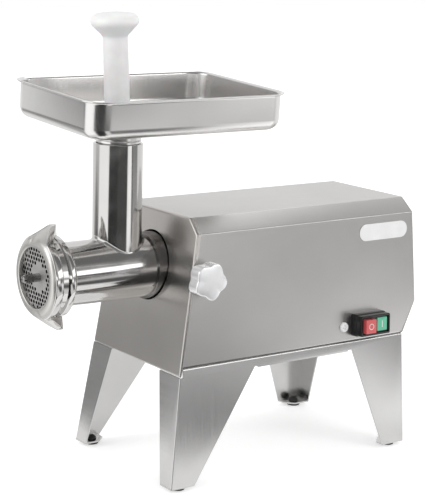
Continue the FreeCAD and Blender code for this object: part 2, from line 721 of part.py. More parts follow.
def build_feet():
    """Four rubber feet, each pulled through its tab and held by its cap."""
    profile = [("0", "0"), ("0", "foot_radius - foot_plane / 4"), ("foot_plane / 4", "foot_radius"),
               ("foot_plane", "foot_radius"), ("foot_plane", "foot_stem"), (TAB_TOP, "foot_stem"),
               (TAB_TOP, "foot_cap"), (f"{TAB_TOP} + foot_cap / 2", "foot_cap * 0.8"),
               (f"{TAB_TOP} + foot_cap * 0.8", "foot_cap * 0.4"), (f"{TAB_TOP} + foot_cap * 0.8", "0")]
    for front, end in ((True, "front"), (False, "rear")):
        for sign, side in (("", "right"), ("-", "left")):
            turned_piece(f"foot_{end}_{side}", "z", profile, sign + FOOT_X, foot_y(front))


def build_base_plate():
    """Base plate that carries motor and gearbox: slots, screw tabs and the capacitor's saddle."""
    body = new_body("base_plate")
    half = "(seam_half - sheet_thick - deck_gap)"
    front = f"{front_at('seam_z')} + panel_thick + deck_gap"
    rear = "rear_seam_y - sheet_thick - deck_gap"
    deck = [(half, front), (half, rear), (f"-{half}", rear), (f"-{half}", front)]
    slab(body, "z", [deck], "seam_z", DECK_TOP)
    tab_top = "(screw_z + screw_tab / 2)"
    tab_out = f"({side_at(tab_top)} - sheet_thick - deck_gap)"
    for low, high in ((f"{tab_out} - deck_thick", tab_out), (f"-{tab_out}", f"-{tab_out} + deck_thick")):
        tab = [("screw_y - screw_tab / 2", "seam_z"), ("screw_y + screw_tab / 2", "seam_z"),
               ("screw_y + screw_tab / 2", tab_top), ("screw_y - screw_tab / 2", tab_top)]
        slab(body, "x", [tab], low, high)
    carve(body, "x", [("screw_y", "screw_z", "screw_shank + screw_clear")], f"-{WIDE}", WIDE)
    saddle = [("capacitor_x - capacitor_radius", "seam_z"), ("capacitor_x + capacitor_radius", "seam_z"),
              ("capacitor_x + capacitor_radius", f"{DECK_TOP} + saddle_high"),
              ("capacitor_x - capacitor_radius", f"{DECK_TOP} + saddle_high")]
    middle = f"({SHELL_FRONT_Y} + motor_length / 2)"
    slab(body, "y", [saddle], f"{middle} - saddle_length / 2", f"{middle} + saddle_length / 2")
    carve(body, "y", [("capacitor_x", CAPACITOR_Z, "capacitor_radius + press_gap")], f"-({LONG})", LONG)
    slots = []
    for number in range(DECK_SLOTS):
        along = f"{middle} + {number - (DECK_SLOTS - 1) / 2} * slot_pitch"
        slots.append(rectangle("0", along, "slot_length", "slot_width"))
    carve(body, "z", slots, "0", DECK_TOP)
    carve(body, "z", [("gland_x", "gland_y", "cable_radius + gland_wall + press_gap")], "0", DECK_TOP)


def build_badge():
    """Blank pill-shaped badge plate on the side of the cover."""
    body = new_body("badge_plate")
    slab(body, "x", [rectangle("0", "0", "badge_length", "badge_height")], "0", "badge_thick")
    soften(body, "badge_height / 2 - press_gap", lambda edge: runs_along(edge, X_AXIS))
    lean_on_side(body, "badge_y", "badge_z")


def build_side_screws():
    """Pan-head screws that hold the cover to the base plate's tabs, one on each side."""
    body = doc.addObject("PartDesign::Body", "right_screw")
    end = "-(sheet_thick + screw_length)"
    spin(body, "x", [(end, "0"), (end, "screw_shank"), ("0", "screw_shank"), ("0", "screw_head"),
                     ("screw_head_high / 2", "screw_head"), ("screw_head_high", "screw_head / 2"),
                     ("screw_head_high", "0")])
    lean_on_side(body, "screw_y", "screw_z")
    group = doc.addObject("Part::Compound", "cover_screws")
    group.Links = [body, mirrored(body, "left_screw")]
    keep(group, "cover_screws")


def build_gland():
    """Cable gland through the base plate, held by a nut inside."""
    wall = "cable_radius + gland_wall"
    inside = "deck_thick + gland_nut"
    profile = [("-gland_drop", "cable_radius"), (inside, "cable_radius"), (inside, "gland_radius"),
               ("deck_thick", "gland_radius"), ("deck_thick", wall), ("0", wall), ("0", "gland_radius"),
               ("-gland_drop / 2", "gland_radius"), ("-gland_drop", wall)]
    turned_piece("cable_gland", "z", profile, "gland_x", "gland_y", "seam_z")


# Switch

def build_switch():
    """Two-button switch: housing on the cover, contact block behind it and the two buttons."""
    places = {"stop_button": "-button_spacing / 2", "start_button": "button_spacing / 2"}
    fronts = {"stop_button": "switch_out + stop_out", "start_button": "switch_out - start_in"}
    body = new_body("switch_housing")
    slab(body, "x", [rectangle("0", "0", "switch_length", "switch_height")], "0", "switch_out")
    soften(body, "switch_round", lambda edge: runs_along(edge, X_AXIS))
    recess = rectangle("0", "0", "switch_length - 2 * switch_wall", "switch_height - 2 * switch_wall")
    carve(body, "x", [recess], "switch_out - recess_depth", "switch_out")
    holes = [rectangle(place, "0", "button_width + 2 * button_gap", "button_height + 2 * button_gap")
             for place in places.values()]
    carve(body, "x", holes, "button_seat - button_travel - button_spare", "switch_out")
    lean_on_side(body, "switch_y", "switch_z")

    block = new_body("contact_block")
    outline = rectangle("0", "0", "switch_length - 2 * block_margin", "switch_height - 2 * block_margin")
    slab(block, "x", [outline], "-block_depth", "0")
    lean_on_side(block, "switch_y", "switch_z")

    for label, place in places.items():
        button = new_body(label)
        outline = rectangle(place, "0", "button_width", "button_height")
        slab(button, "x", [outline], "button_seat", fronts[label])
        soften(button, "button_round", lambda edge: runs_along(edge, X_AXIS))
        lean_on_side(button, "switch_y", "switch_z")


# Hub and clamp

def build_hub():
    """Hub socket in the front panel: it takes the head's spigot, the clamp and the front bearing."""
    body = new_body("hub_socket")
    inner = "spigot_radius + run_gap"
    seat = f"{OUTPUT_SEAT} + press_gap"
    flange = "box_front_y - hub_flange"
    lip, throat = f"{HUB_SEAT_Y} - hub_lip", "socket_radius + shaft_clear"
    spin(body, "y", [("hub_front_y", inner), ("hub_front_y", "hub_radius"), (flange, "hub_radius"),
                     (flange, "hub_flange_radius"), ("box_front_y", "hub_flange_radius"),
                     ("box_front_y", seat), (HUB_SEAT_Y, seat), (HUB_SEAT_Y, throat), (lip, throat),
                     (lip, inner)])
    slab(body, "x", [("clamp_y", "0", "clamp_boss")], "(spigot_radius + hub_radius) / 2", "clamp_boss_out")
    carve(body, "x", [("clamp_y", "0", "spindle_radius + run_gap")], "0", "2 * clamp_boss_out")
    put(body, z="axis_z")


def build_clamp():
    """Clamp: star knob and spindle that turn together, and the swivel pad that presses on the spigot."""
    pad_front = f"({SPIGOT_FLAT} + seat_gap)"
    pad_end = f"({pad_front} + pad_thick)"
    pad_floor = f"({pad_front} + pad_thick / 2)"
    socket = "spindle_tip + run_gap"
    edge = "pad_radius - run_gap"
    pad = [(pad_front, "0"), (pad_front, edge), (pad_end, edge), (pad_end, socket), (pad_floor, socket),
           (pad_floor, "0")]
    turned_piece("clamp_pad", "x", pad, y="clamp_y", z="axis_z")
    back = f"({side_at('axis_z')} + knob_gap)"
    front = f"({back} + knob_thick)"
    stem_end = f"({back} + knob_thick / 2)"
    tip, step = f"{pad_floor} + seat_gap", f"{pad_end} + seat_gap"
    spindle = [(tip, "0"), (tip, "spindle_tip"), (step, "spindle_tip"), (step, "spindle_radius"),
               (stem_end, "spindle_radius"), (stem_end, "0")]
    turned_piece("clamp_spindle", "x", spindle, y="clamp_y", z="axis_z")
    body = new_body("clamp_knob")
    slab(body, "x", [("0", "0", "knob_radius")], back, front)
    half_step = 180 / KNOB_LOBES
    reach = "(knob_valley + knob_scoop)"
    hollow = (f"{reach} * cos({half_step})", f"{reach} * sin({half_step})", "knob_scoop")
    scoop = carve(body, "x", [hollow], f"{back} - knob_gap / 2", f"{front} + knob_gap / 2")
    repeat_around(body, scoop, "X", KNOB_LOBES)
    soften(body, "knob_lobe", lambda edge: runs_along(edge, X_AXIS))
    soften(body, "knob_round", lambda edge: abs(edge.Vertexes[0].X - edge.Vertexes[-1].X) < TINY)
    slab(body, "x", [("0", "0", "knob_boss")], f"{side_at('axis_z')} + knob_boss_gap", stem_end)
    carve(body, "x", [("0", "0", "spindle_radius + press_gap")], "0", stem_end)
    turn(body, X_AXIS, "knob_turn")
    put(body, y="clamp_y", z="axis_z")


# Grinder head

def build_head():
    """Grinder head: barrel, feed column, threaded front and spigot in one casting, with the plate's key."""
    body = new_body("grinder_head")
    flare = "head_front_y + thread_length"
    shoulder = "hub_front_y - seat_gap"
    spin(body, "y", [("head_front_y", "0"), (SPIGOT_END, "0"), (SPIGOT_END, "spigot_radius"),
                     (shoulder, "spigot_radius"), (shoulder, "barrel_radius"),
                     (f"{flare} + thread_radius - barrel_radius", "barrel_radius"), (flare, "thread_radius"),
                     ("head_front_y", "thread_radius")])
    slab(body, "z", [("0", "column_y", "column_radius")], "0", "column_top - axis_z")
    reach = size("barrel_radius") + TINY

    def on_saddle(edge):
        """Whether an edge lies where the column and the barrel meet."""
        if is_straight(edge) or isinstance(edge.Curve, Part.Circle):
            return False
        return edge.BoundBox.ZMin > 0 and edge.BoundBox.ZMax < reach
    soften(body, "column_blend", on_saddle)
    past_front, past_rear = "head_front_y - plate_depth", f"{SPIGOT_END} + plate_depth"
    bush, counterbore = "bush_radius + press_gap", "plate_radius + seat_gap"
    pocket = f"{KNIFE_REAR} + knife_room"
    spin(body, "y", [(past_front, "0"), (past_rear, "0"), (past_rear, bush), (BORE_REAR, bush),
                     (BORE_REAR, "barrel_bore"), (pocket, "barrel_bore"), (pocket, counterbore),
                     (past_front, counterbore)], groove=True)
    carve(body, "z", [("0", "column_y", "column_bore")], "0", "column_top - axis_z")
    flat_front = "clamp_y - keyway_half"
    flat = [(flat_front, "-keyway_half"), (past_rear, "-keyway_half"), (past_rear, "keyway_half"),
            (flat_front, "keyway_half")]
    carve(body, "x", [flat], SPIGOT_FLAT, "2 * spigot_radius")
    slot = rectangle("0", "plate_radius", "key_width + 2 * press_gap", "2 * key_out + 2 * press_gap")
    carve(body, "y", [slot], past_front, PLATE_REAR)
    put(body, z="axis_z")

    key = new_body("plate_key")
    outline = rectangle("0", "plate_radius + (key_out - key_in) / 2", "key_width", "key_in + key_out")
    slab(key, "y", [outline], "head_front_y", PLATE_REAR)
    put(key, z="axis_z")

    bore = "journal_radius + run_gap"
    turned_piece("auger_bush", "y", ring(BORE_REAR, SPIGOT_END, bore, "bush_radius"), z="axis_z")


def build_auger():
    """Auger: core with its rear journal and drive tang, the flight, and the square that turns the knife."""
    body = new_body("auger")
    core_front = f"({KNIFE_REAR} + seat_gap)"
    core_rear = f"({BORE_REAR} - seat_gap)"
    spin(body, "y", [(core_front, "0"), (SPIGOT_END, "0"), (SPIGOT_END, "journal_radius"),
                     (core_rear, "journal_radius"), (core_rear, "auger_core"), (core_front, "auger_core")])
    slab(body, "y", [square("tang_square")], SPIGOT_END, f"{SPIGOT_END} + tang_length")
    slab(body, "y", [square("drive_square")], KNIFE_FRONT, core_front)
    start = f"({core_front} + auger_end)"
    root = "auger_core - auger_flight / 2"
    profile = draw(body, "YZ", [[(start, root), (f"{start} + auger_flight", root),
                                 (f"{start} + auger_flight", "auger_radius"), (start, "auger_radius")]])
    flight = body.newObject("PartDesign::AdditiveHelix", "auger_flight")
    flight.Profile = profile
    flight.ReferenceAxis = (profile, ["H_Axis"])
    flight.Mode = 0
    bind(flight, Pitch="auger_pitch", Height=f"{core_rear} - auger_end - auger_flight - {start}")
    doc.recompute()
    carve(body, "y", [("0", "0", "stud_radius + press_gap")], PLATE_FRONT, f"{PLATE_REAR} + stud_depth")
    put(body, z="axis_z")

    end = f"{PLATE_REAR} + stud_depth - seat_gap"
    bevel = "stud_round / 3"
    stud = [("stud_tip_y", "0"), ("stud_tip_y", "stud_radius - stud_round"),
            (f"stud_tip_y + {bevel}", f"stud_radius - {bevel}"), ("stud_tip_y + stud_round", "stud_radius"),
            (end, "stud_radius"), (end, "0")]
    turned_piece("auger_stud", "y", stud, z="axis_z")


def build_knife():
    """Four-armed knife on the auger's square, against the plate."""
    body = new_body("knife")
    slab(body, "y", [("0", "0", "knife_hub")], KNIFE_FRONT, KNIFE_REAR)
    outline = [("0", "-knife_arm / 2"), ("knife_reach", "-knife_arm / 2"),
               ("knife_reach", "knife_tip - knife_arm / 2"), ("0", "knife_arm / 2")]
    arm = slab(body, "y", [outline], KNIFE_FRONT, KNIFE_REAR)
    repeat_around(body, arm, "Y", KNIFE_ARMS)
    carve(body, "y", [square("drive_square + 2 * run_gap")], PLATE_FRONT, f"{KNIFE_REAR} + knife_room")
    put(body, z="axis_z")


def build_plate():
    """Perforated grinding plate: holes on a triangular grid between a plain middle and a plain rim."""
    radius, pitch, hole, depth = (size("plate_" + name) for name in ("radius", "pitch", "hole", "depth"))
    near = size("plate_plain") + hole
    far = radius - size("plate_rim")
    row_step = pitch * math.sqrt(0.75)
    rows = int(far / row_step) + 1
    wires = [Part.makeCircle(radius, Vector(), Y_AXIS),
             Part.makeCircle(size("stud_radius") + size("run_gap"), Vector(), Y_AXIS)]
    for row in range(-rows, rows + 1):
        for column in range(-2 * rows, 2 * rows + 1):
            middle = Vector((column + row % 2 / 2) * pitch, 0, row * row_step)
            if near < middle.Length < far:
                wires.append(Part.makeCircle(hole, middle, Y_AXIS))
    face = Part.makeFace([Part.Wire(wire) for wire in wires], "Part::FaceMakerBullseye")
    width = size("key_width") + 2 * size("seat_gap")
    floor = radius - size("key_in") - size("seat_gap")
    notch = Part.makeBox(width, depth, radius, Vector(-width / 2, 0, floor))
    plate = doc.addObject("Part::Feature", "grinding_plate")
    plate.Shape = face.extrude(Vector(0, depth, 0)).cut(notch).Solids[0]
    put(plate, y=PLATE_FRONT, z="axis_z")
    keep(plate, "grinding_plate")


def build_nut():
    """Ring nut: a domed front around the discharge opening, a threaded skirt and two swept-back ears."""
    body = new_body("ring_nut")
    spin(body, "y", [("nut_front_y", "nut_opening"), ("nut_front_y", "nut_face"),
                     ("nut_front_y + nut_bevel", "nut_brow"), ("nut_front_y + nut_shoulder", "nut_radius"),
                     ("nut_rear_y", "nut_rear_radius"), ("nut_rear_y", "nut_opening")])
    front = size("nut_front_y")
    rims = [(front, size("nut_face")), (front + size("nut_bevel"), size("nut_brow")),
            (front + size("nut_shoulder"), size("nut_radius"))]
    soften(body, "nut_round", lambda edge: any(is_circle(edge, *rim) for rim in rims))
    tip_rear = "nut_rear_y + ear_back"
    half_way = ("(nut_face + ear_reach) / 2", "nut_rear_y - (ear_root + ear_tip) / 2",
                "nut_rear_y + ear_back / 3", "(ear_width + ear_tip_width) / 2")
    rows = [("nut_face", "nut_rear_y - ear_root", "nut_rear_y", "ear_width"), half_way,
            ("ear_reach", f"{tip_rear} - ear_tip", tip_rear, "ear_tip_width")]
    sections = []
    for radius, front, rear, width in rows:
        outline = rectangle("0", f"({front} + {rear}) / 2", width, f"({rear}) - ({front})")
        sections.append(draw(body, "XY", [outline], radius))
    repeat_around(body, loft(body, sections, False), "Y", 2)
    bore = "thread_radius + run_gap"
    lip = f"{PLATE_FRONT} - seat_gap"
    spin(body, "y", ring(lip, f"{tip_rear} + ear_tip", "nut_opening / 2", bore), groove=True)
    turn(body, Vector(0, -1, 0), "ear_turn")
    put(body, z="axis_z")


# Tray and plunger

def basin(name, inset, low, high):
    """A rounded block: the outside of the tray's basin, or its hollow."""
    body = doc.addObject("PartDesign::Body", name)
    wall = f"2 * (tray_lip + {inset})"
    outline = rectangle("0", "tray_middle", f"tray_width - {wall}", f"tray_length - {wall}")
    slab(body, "z", [outline], low, high)
    soften(body, f"tray_corner - {inset}", lambda edge: runs_along(edge, Z_AXIS))
    floor = body.Shape.BoundBox.ZMin
    soften(body, f"tray_bottom - {inset}", lambda edge: abs(edge.BoundBox.ZMax - floor) < TINY)
    return body


def build_tray():
    """Deep-drawn tray pan with a flat lip, and the welded collar that drops into the column."""
    rim = "(collar_neck + tray_height)"
    collar_bore = "(collar_spigot - collar_wall)"
    outside = basin("tray_outside", "0", "collar_neck", rim)
    lip = doc.addObject("PartDesign::Body", "tray_lip")
    slab(lip, "z", [rectangle("0", "tray_middle", "tray_width", "tray_length")], f"{rim} - tray_sheet", rim)
    soften(lip, "tray_corner + tray_lip", lambda edge: runs_along(edge, Z_AXIS))
    hollow = basin("tray_hollow", "tray_sheet", "collar_neck + tray_sheet", f"{rim} + tray_sheet")
    slab(hollow, "z", [("0", "0", collar_bore)], "0", "collar_neck + 2 * tray_sheet")
    block = doc.addObject("Part::Fuse", "tray_block")
    block.Base, block.Tool = outside, lip
    pan = doc.addObject("Part::Cut", "tray_pan")
    pan.Base, pan.Tool = block, hollow
    shoulder = "(collar_radius * tan(tray_lean) + seat_gap)"
    profile = [("-collar_depth", collar_bore), ("collar_neck", collar_bore),
               ("collar_neck", "collar_radius"), (shoulder, "collar_radius"), (shoulder, "collar_spigot"),
               ("-collar_depth", "collar_spigot")]
    collar = turned_piece("tray_collar", "z", profile)
    for piece in (keep(pan, "tray_pan"), collar):
        turn(piece, Y_AXIS, "tray_lean")
        put(piece, y="column_y", z="column_top")


def build_plunger():
    """White plunger, standing loosely in the column: stem, cone and domed head."""
    body = new_body("plunger")
    bottom = "(axis_z + auger_radius + plunger_clear - plunger_pivot)"
    neck = "(plunger_neck - plunger_pivot)"
    wide = f"({neck} + plunger_flare)"
    top = f"({wide} + plunger_dome)"
    spin(body, "z", [(bottom, "0"), (bottom, "plunger_radius"), (neck, "plunger_radius"),
                     (wide, "plunger_head"), (top, "plunger_head - plunger_crown"), (top, "0")])
    doc.recompute()
    low = body.Shape.BoundBox.ZMin
    soften(body, "plunger_edge", lambda edge: abs(edge.BoundBox.ZMax - low) < TINY and edge.Length > TINY)
    turn(body, X_AXIS, "plunger_lean")
    put(body, y="column_y", z="plunger_pivot")


# Gearbox

def tooth_half_angle(radius, pitch_radius):
    """Half the angle that an involute tooth fills at a radius."""
    base = pitch_radius * math.cos(PRESSURE_ANGLE)
    there = math.acos(min(1.0, base / radius))
    thickness = math.pi * size("gear_module") / 2 - size("backlash")
    involute = (math.tan(PRESSURE_ANGLE) - PRESSURE_ANGLE) - (math.tan(there) - there)
    return thickness / (2 * pitch_radius) + involute


def build_gear(label, teeth_alias, bore, front_y, face, z, first):
    """A spur gear along Y; first is the angle of one tooth's middle from +X towards +Z."""
    teeth = int(size(teeth_alias))
    module = size("gear_module")
    pitch_radius = module * teeth / 2
    radii = (pitch_radius - ROOT_DEPTH * module, pitch_radius, pitch_radius + module)
    points = []
    for tooth in range(teeth):
        middle = first + 2 * math.pi * tooth / teeth
        flank = [(radius, tooth_half_angle(radius, pitch_radius)) for radius in radii]
        corners = [(radius, middle - half) for radius, half in flank]
        corners += [(radius, middle + half) for radius, half in reversed(flank)]
        points += [Vector(radius * math.cos(angle), 0, radius * math.sin(angle))
                   for radius, angle in corners]
    outline = Part.makePolygon(points + points[:1])
    hole = Part.Wire(Part.makeCircle(size(bore) + size("press_gap"), Vector(), Y_AXIS))
    solid = Part.makeFace([outline, hole], "Part::FaceMakerBullseye").extrude(Vector(0, face, 0))
    gear = doc.addObject("Part::Feature", label)
    gear.Shape = solid
    put(gear, y=front_y, z=z)
    keep(gear, label)


def build_gears():
    """Two equal stages; teeth and gaps face each other on the line between the shafts."""
    up = math.pi / 2
    gap = math.pi / size("wheel_teeth")
    wheel, pinion = size("gear_face"), size("gear_face") + 2 * size("pinion_extra")
    first, second = f"{STAGE_ONE_Y} - pinion_extra", f"{STAGE_TWO_Y} - pinion_extra"
    build_gear("output_gear", "wheel_teeth", "output_radius", STAGE_ONE_Y, wheel, "axis_z", -up + gap)
    build_gear("countershaft_pinion", "pinion_teeth", "counter_radius", first, pinion, COUNTER_Z, up)
    build_gear("countershaft_gear", "wheel_teeth", "counter_radius", STAGE_TWO_Y, wheel, COUNTER_Z, up + gap)
    build_gear("motor_pinion", "pinion_teeth", "shaft_radius", second, pinion, "axis_z", -up)


def build_shafts():
    """Output shaft with its drive socket, the countershaft, their bearings and the seal."""
    front = f"({SPIGOT_END} + socket_gap)"
    flange_rear = f"{HUB_SEAT_Y} - seat_gap"
    rear = f"{STAGE_ONE_Y} + gear_face + pinion_extra"
    profile = [(front, "0"), (front, "socket_radius"), (flange_rear, "socket_radius"),
               (flange_rear, "output_radius"), (rear, "output_radius"), (rear, "0")]
    shaft = turned_piece("output_shaft", "y", profile, z="axis_z")
    drive = square("tang_square + 2 * socket_play")
    carve(shaft, "y", [drive], f"{front} - socket_gap", f"{front} + socket_depth")
    bore = "output_radius + run_gap"
    for label, y in (("output_bearing_front", f"({HUB_SEAT_Y} + seat_gap)"),
                     ("output_bearing_rear", f"({BOX_INNER_Y} - bearing_depth)")):
        turned_piece(label, "y", ring(y, f"{y} + bearing_depth", bore, OUTPUT_SEAT), z="axis_z")
    seal = f"({HUB_SEAT_Y} + bearing_depth + hub_lip)"
    turned_piece("shaft_seal", "y", ring(seal, f"{seal} + seal_depth", bore, OUTPUT_SEAT), z="axis_z")
    front, rear = f"({BOX_INNER_Y} - bearing_depth)", f"({BOX_REAR_Y} + bearing_depth)"
    profile = ring(f"{front} + seat_gap", f"{rear} - seat_gap", "0", "counter_radius")
    turned_piece("countershaft", "y", profile, z=COUNTER_Z)
    bore = "counter_radius + run_gap"
    for label, low, high in (("countershaft_bearing_front", front, BOX_INNER_Y),
                             ("countershaft_bearing_rear", BOX_REAR_Y, rear)):
        turned_piece(label, "y", ring(f"{low} + seat_gap", high, bore, COUNTER_SEAT), z=COUNTER_Z)


def box_outline():
    """Outline of the gearbox: a block from the base plate to above the output gear."""
    top = f"(axis_z + {BOX_HALF})"
    return [(f"-{BOX_HALF}", DECK_TOP), (BOX_HALF, DECK_TOP), (BOX_HALF, top), (f"-{BOX_HALF}", top)]


def bolt_places():
    """The four corners of the gearbox where its bolts run."""
    x = f"({BOX_HALF} - bolt_inset)"
    heights = (f"{DECK_TOP} + bolt_inset", f"axis_z + {BOX_HALF} - bolt_inset")
    return [(sign + x, z) for sign in ("", "-") for z in heights]


def build_gearbox():
    """Gearbox case with the bearing seats, its rear cover, and the bolts that hold them together."""
    case = new_body("gearbox_case")
    bolt_holes = [(x, z, "bolt_radius + press_gap") for x, z in bolt_places()]
    slab(case, "y", [box_outline()], "box_front_y", BOX_REAR_Y)
    middle = size("axis_z")
    soften(case, "box_round", lambda edge: runs_along(edge, Y_AXIS) and edge.BoundBox.ZMin > middle)
    for z in ("axis_z", COUNTER_Z):
        carve(case, "y", [("0", z, CAVITY_RADIUS)], BOX_INNER_Y, BOX_REAR_Y)
    waist = [(f"-{CAVITY_RADIUS}", COUNTER_Z), (CAVITY_RADIUS, COUNTER_Z), (CAVITY_RADIUS, "axis_z"),
             (f"-{CAVITY_RADIUS}", "axis_z")]
    carve(case, "y", [waist], BOX_INNER_Y, BOX_REAR_Y)
    counter_hole = ("0", COUNTER_Z, f"{COUNTER_SEAT} + press_gap")
    carve(case, "y", [("0", "axis_z", f"{OUTPUT_SEAT} + press_gap")], "box_front_y", BOX_REAR_Y)
    carve(case, "y", [counter_hole], f"{BOX_INNER_Y} - bearing_depth", BOX_REAR_Y)
    carve(case, "y", bolt_holes, "box_front_y", BOX_REAR_Y)

    lid = new_body("gearbox_cover")
    slab(lid, "y", [box_outline()], BOX_REAR_Y, LID_REAR_Y)
    soften(lid, "box_round", lambda edge: runs_along(edge, Y_AXIS) and edge.BoundBox.ZMin > middle)
    carve(lid, "y", [("0", "axis_z", "shaft_radius + shaft_clear")], BOX_REAR_Y, LID_REAR_Y)
    carve(lid, "y", [counter_hole], BOX_REAR_Y, f"{BOX_REAR_Y} + bearing_depth")
    carve(lid, "y", bolt_holes, BOX_REAR_Y, f"{BOX_REAR_Y} + bolt_grip + press_gap")

    bolts = []
    for x, z in bolt_places():
        bolt = doc.addObject("PartDesign::Body", "gearbox_bolt")
        spin(bolt, "y", [("-bolt_head", "0"), (f"{BOX_REAR_Y} + bolt_grip - box_front_y", "0"),
                         (f"{BOX_REAR_Y} + bolt_grip - box_front_y", "bolt_radius"), ("0", "bolt_radius"),
                         ("0", "bolt_head"), ("-bolt_head", "bolt_head")])
        put(bolt, x, "box_front_y", z)
        bolts.append(bolt)
    group = doc.addObject("Part::Compound", "gearbox_bolts")
    group.Links = bolts
    keep(group, "gearbox_bolts")


# Motor and wiring

def build_motor():
    """Induction motor: shell, end bells, stator with end windings, rotor on its shaft, bearings and fan."""
    seat, free = f"{MOTOR_SEAT} + press_gap", "shaft_radius + shaft_clear"
    outer = "motor_radius"
    bells = {"front": (LID_REAR_Y, f"({SHELL_FRONT_Y} - bearing_depth)", SHELL_FRONT_Y),
             "rear": (f"({SHELL_REAR_Y} + bell_thick)", f"({SHELL_REAR_Y} + bearing_depth)", SHELL_REAR_Y)}
    for end, (face, floor, inside) in bells.items():
        profile = [(face, free), (face, outer), (inside, outer), (inside, seat), (floor, seat),
                   (floor, free)]
        turned_piece(f"{end}_end_bell", "y", profile, z="axis_z")
        race = ring(floor, inside, "shaft_radius + run_gap", MOTOR_SEAT)
        turned_piece(f"motor_bearing_{end}", "y", race, z="axis_z")
    tube = ring(SHELL_FRONT_Y, SHELL_REAR_Y, "motor_radius - motor_wall", outer)
    turned_piece("motor_shell", "y", tube, z="axis_z")

    bore = "(rotor_radius + air_gap)"
    core = ring(CORE_FRONT_Y, CORE_REAR_Y, bore, "motor_radius - motor_wall - press_gap")
    stator = turned_piece("stator_core", "y", core, z="axis_z")
    middle = f"{bore} + (winding_depth - air_gap) / 2"
    slot = rectangle("0", middle, "stator_slot", "winding_depth + air_gap")
    groove = carve(stator, "y", [slot], CORE_FRONT_Y, CORE_REAR_Y)
    repeat_around(stator, groove, "Y", STATOR_SLOTS)
    inner = "(rotor_radius + winding_clear)"
    for end, low, high in (("front", f"{CORE_FRONT_Y} - winding_length", CORE_FRONT_Y),
                           ("rear", CORE_REAR_Y, f"{CORE_REAR_Y} + winding_length")):
        turned_piece(f"{end}_winding", "y", ring(low, high, inner, f"{inner} + winding_depth"), z="axis_z")

    fan_rear, disc_rear = f"({FAN_Y} + fan_depth)", f"({FAN_Y} + fan_disc)"
    shaft = ring(f"{STAGE_TWO_Y} - pinion_extra", f"{fan_rear} + fan_disc", "0", "shaft_radius")
    turned_piece("motor_shaft", "y", shaft, z="axis_z")
    grip = "shaft_radius + press_gap"
    turned_piece("rotor_core", "y", ring(CORE_FRONT_Y, CORE_REAR_Y, grip, "rotor_radius"), z="axis_z")
    profile = [(FAN_Y, grip), (fan_rear, grip), (fan_rear, "fan_hub"), (disc_rear, "fan_hub"),
               (disc_rear, "fan_radius"), (FAN_Y, "fan_radius")]
    fan = turned_piece("motor_fan", "y", profile, z="axis_z")
    blade = rectangle("0", "(fan_hub + fan_radius) / 2", "fan_disc", "fan_radius - fan_hub + fan_disc")
    repeat_around(fan, slab(fan, "y", [blade], FAN_Y, fan_rear), "Y", FAN_BLADES)


def build_motor_mount():
    """Cradle under the motor, the run capacitor in its saddle and the terminal block."""
    cradle = new_body("motor_cradle")
    front, rear = f"({SHELL_FRONT_Y} + cradle_inset)", f"({SHELL_REAR_Y} - cradle_inset)"
    base_top = f"{DECK_TOP} + cradle_base"
    saddle_top = "axis_z - cradle_below"
    upright = [("-cradle_half", DECK_TOP), ("cradle_half", DECK_TOP), ("cradle_half", saddle_top),
               ("-cradle_half", saddle_top)]
    base = [("-cradle_half", front), ("cradle_half", front), ("cradle_half", rear), ("-cradle_half", rear)]
    slab(cradle, "z", [base], DECK_TOP, base_top)
    slab(cradle, "y", [upright], front, f"{front} + cradle_plate")
    slab(cradle, "y", [upright], f"{rear} - cradle_plate", rear)
    carve(cradle, "y", [("0", "axis_z", "motor_radius + press_gap")], front, rear)

    middle = f"({SHELL_FRONT_Y} + motor_length / 2)"
    can = ring("-capacitor_length / 2", "capacitor_length / 2", "0", "capacitor_radius")
    turned_piece("run_capacitor", "y", can, "capacitor_x", middle, CAPACITOR_Z)

    block = new_body("terminal_block")
    slab(block, "z", [rectangle("0", "0", "terminal_width", "terminal_length")], "0", "terminal_high")
    shares = [(way + 0.5) / TERMINAL_WAYS - 0.5 for way in range(TERMINAL_WAYS)]
    holes = [(f"terminal_length * {share}", "terminal_high / 3", "terminal_hole") for share in shares]
    carve(block, "x", holes, "-terminal_width", "terminal_width")
    put(block, "terminal_x", "terminal_y", DECK_TOP)


def check_and_write():
    """Stop at anything that failed, then write every sub-part to its own file."""
    doc.recompute()
    failed = [thing.Label for thing in doc.Objects if {"Invalid", "Error"} & set(thing.State)]
    failed += [piece.Label for piece in pieces if piece.Shape.isNull() or not piece.Shape.isValid()]
    if failed:
        raise SystemExit("failed: " + ", ".join(failed))
    os.makedirs("parts", exist_ok=True)
    for piece in pieces:
        piece.Shape.exportStep(f"parts/{piece.Label}.step")
        print(f"{piece.Label}: {len(piece.Shape.Solids)} solid, {piece.Shape.Volume / 1000:.1f} cm3")


for build in (build_cover, build_front_panel, build_rear_panel, build_leg_frames, build_feet,
              build_base_plate, build_badge, build_side_screws, build_gland, build_switch, build_hub,
              build_clamp, build_head, build_auger, build_knife, build_plate, build_nut, build_tray,
              build_plunger, build_gears, build_shafts, build_gearbox, build_motor, build_motor_mount):
    build()
check_and_write()
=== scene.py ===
"""Dressed model of an electric meat grinder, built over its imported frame."""
import logging
import math
from dataclasses import dataclass
from enum import Enum
from typing import Callable, ClassVar, Sequence

import bmesh
import bpy
from mathutils import Matrix, Vector


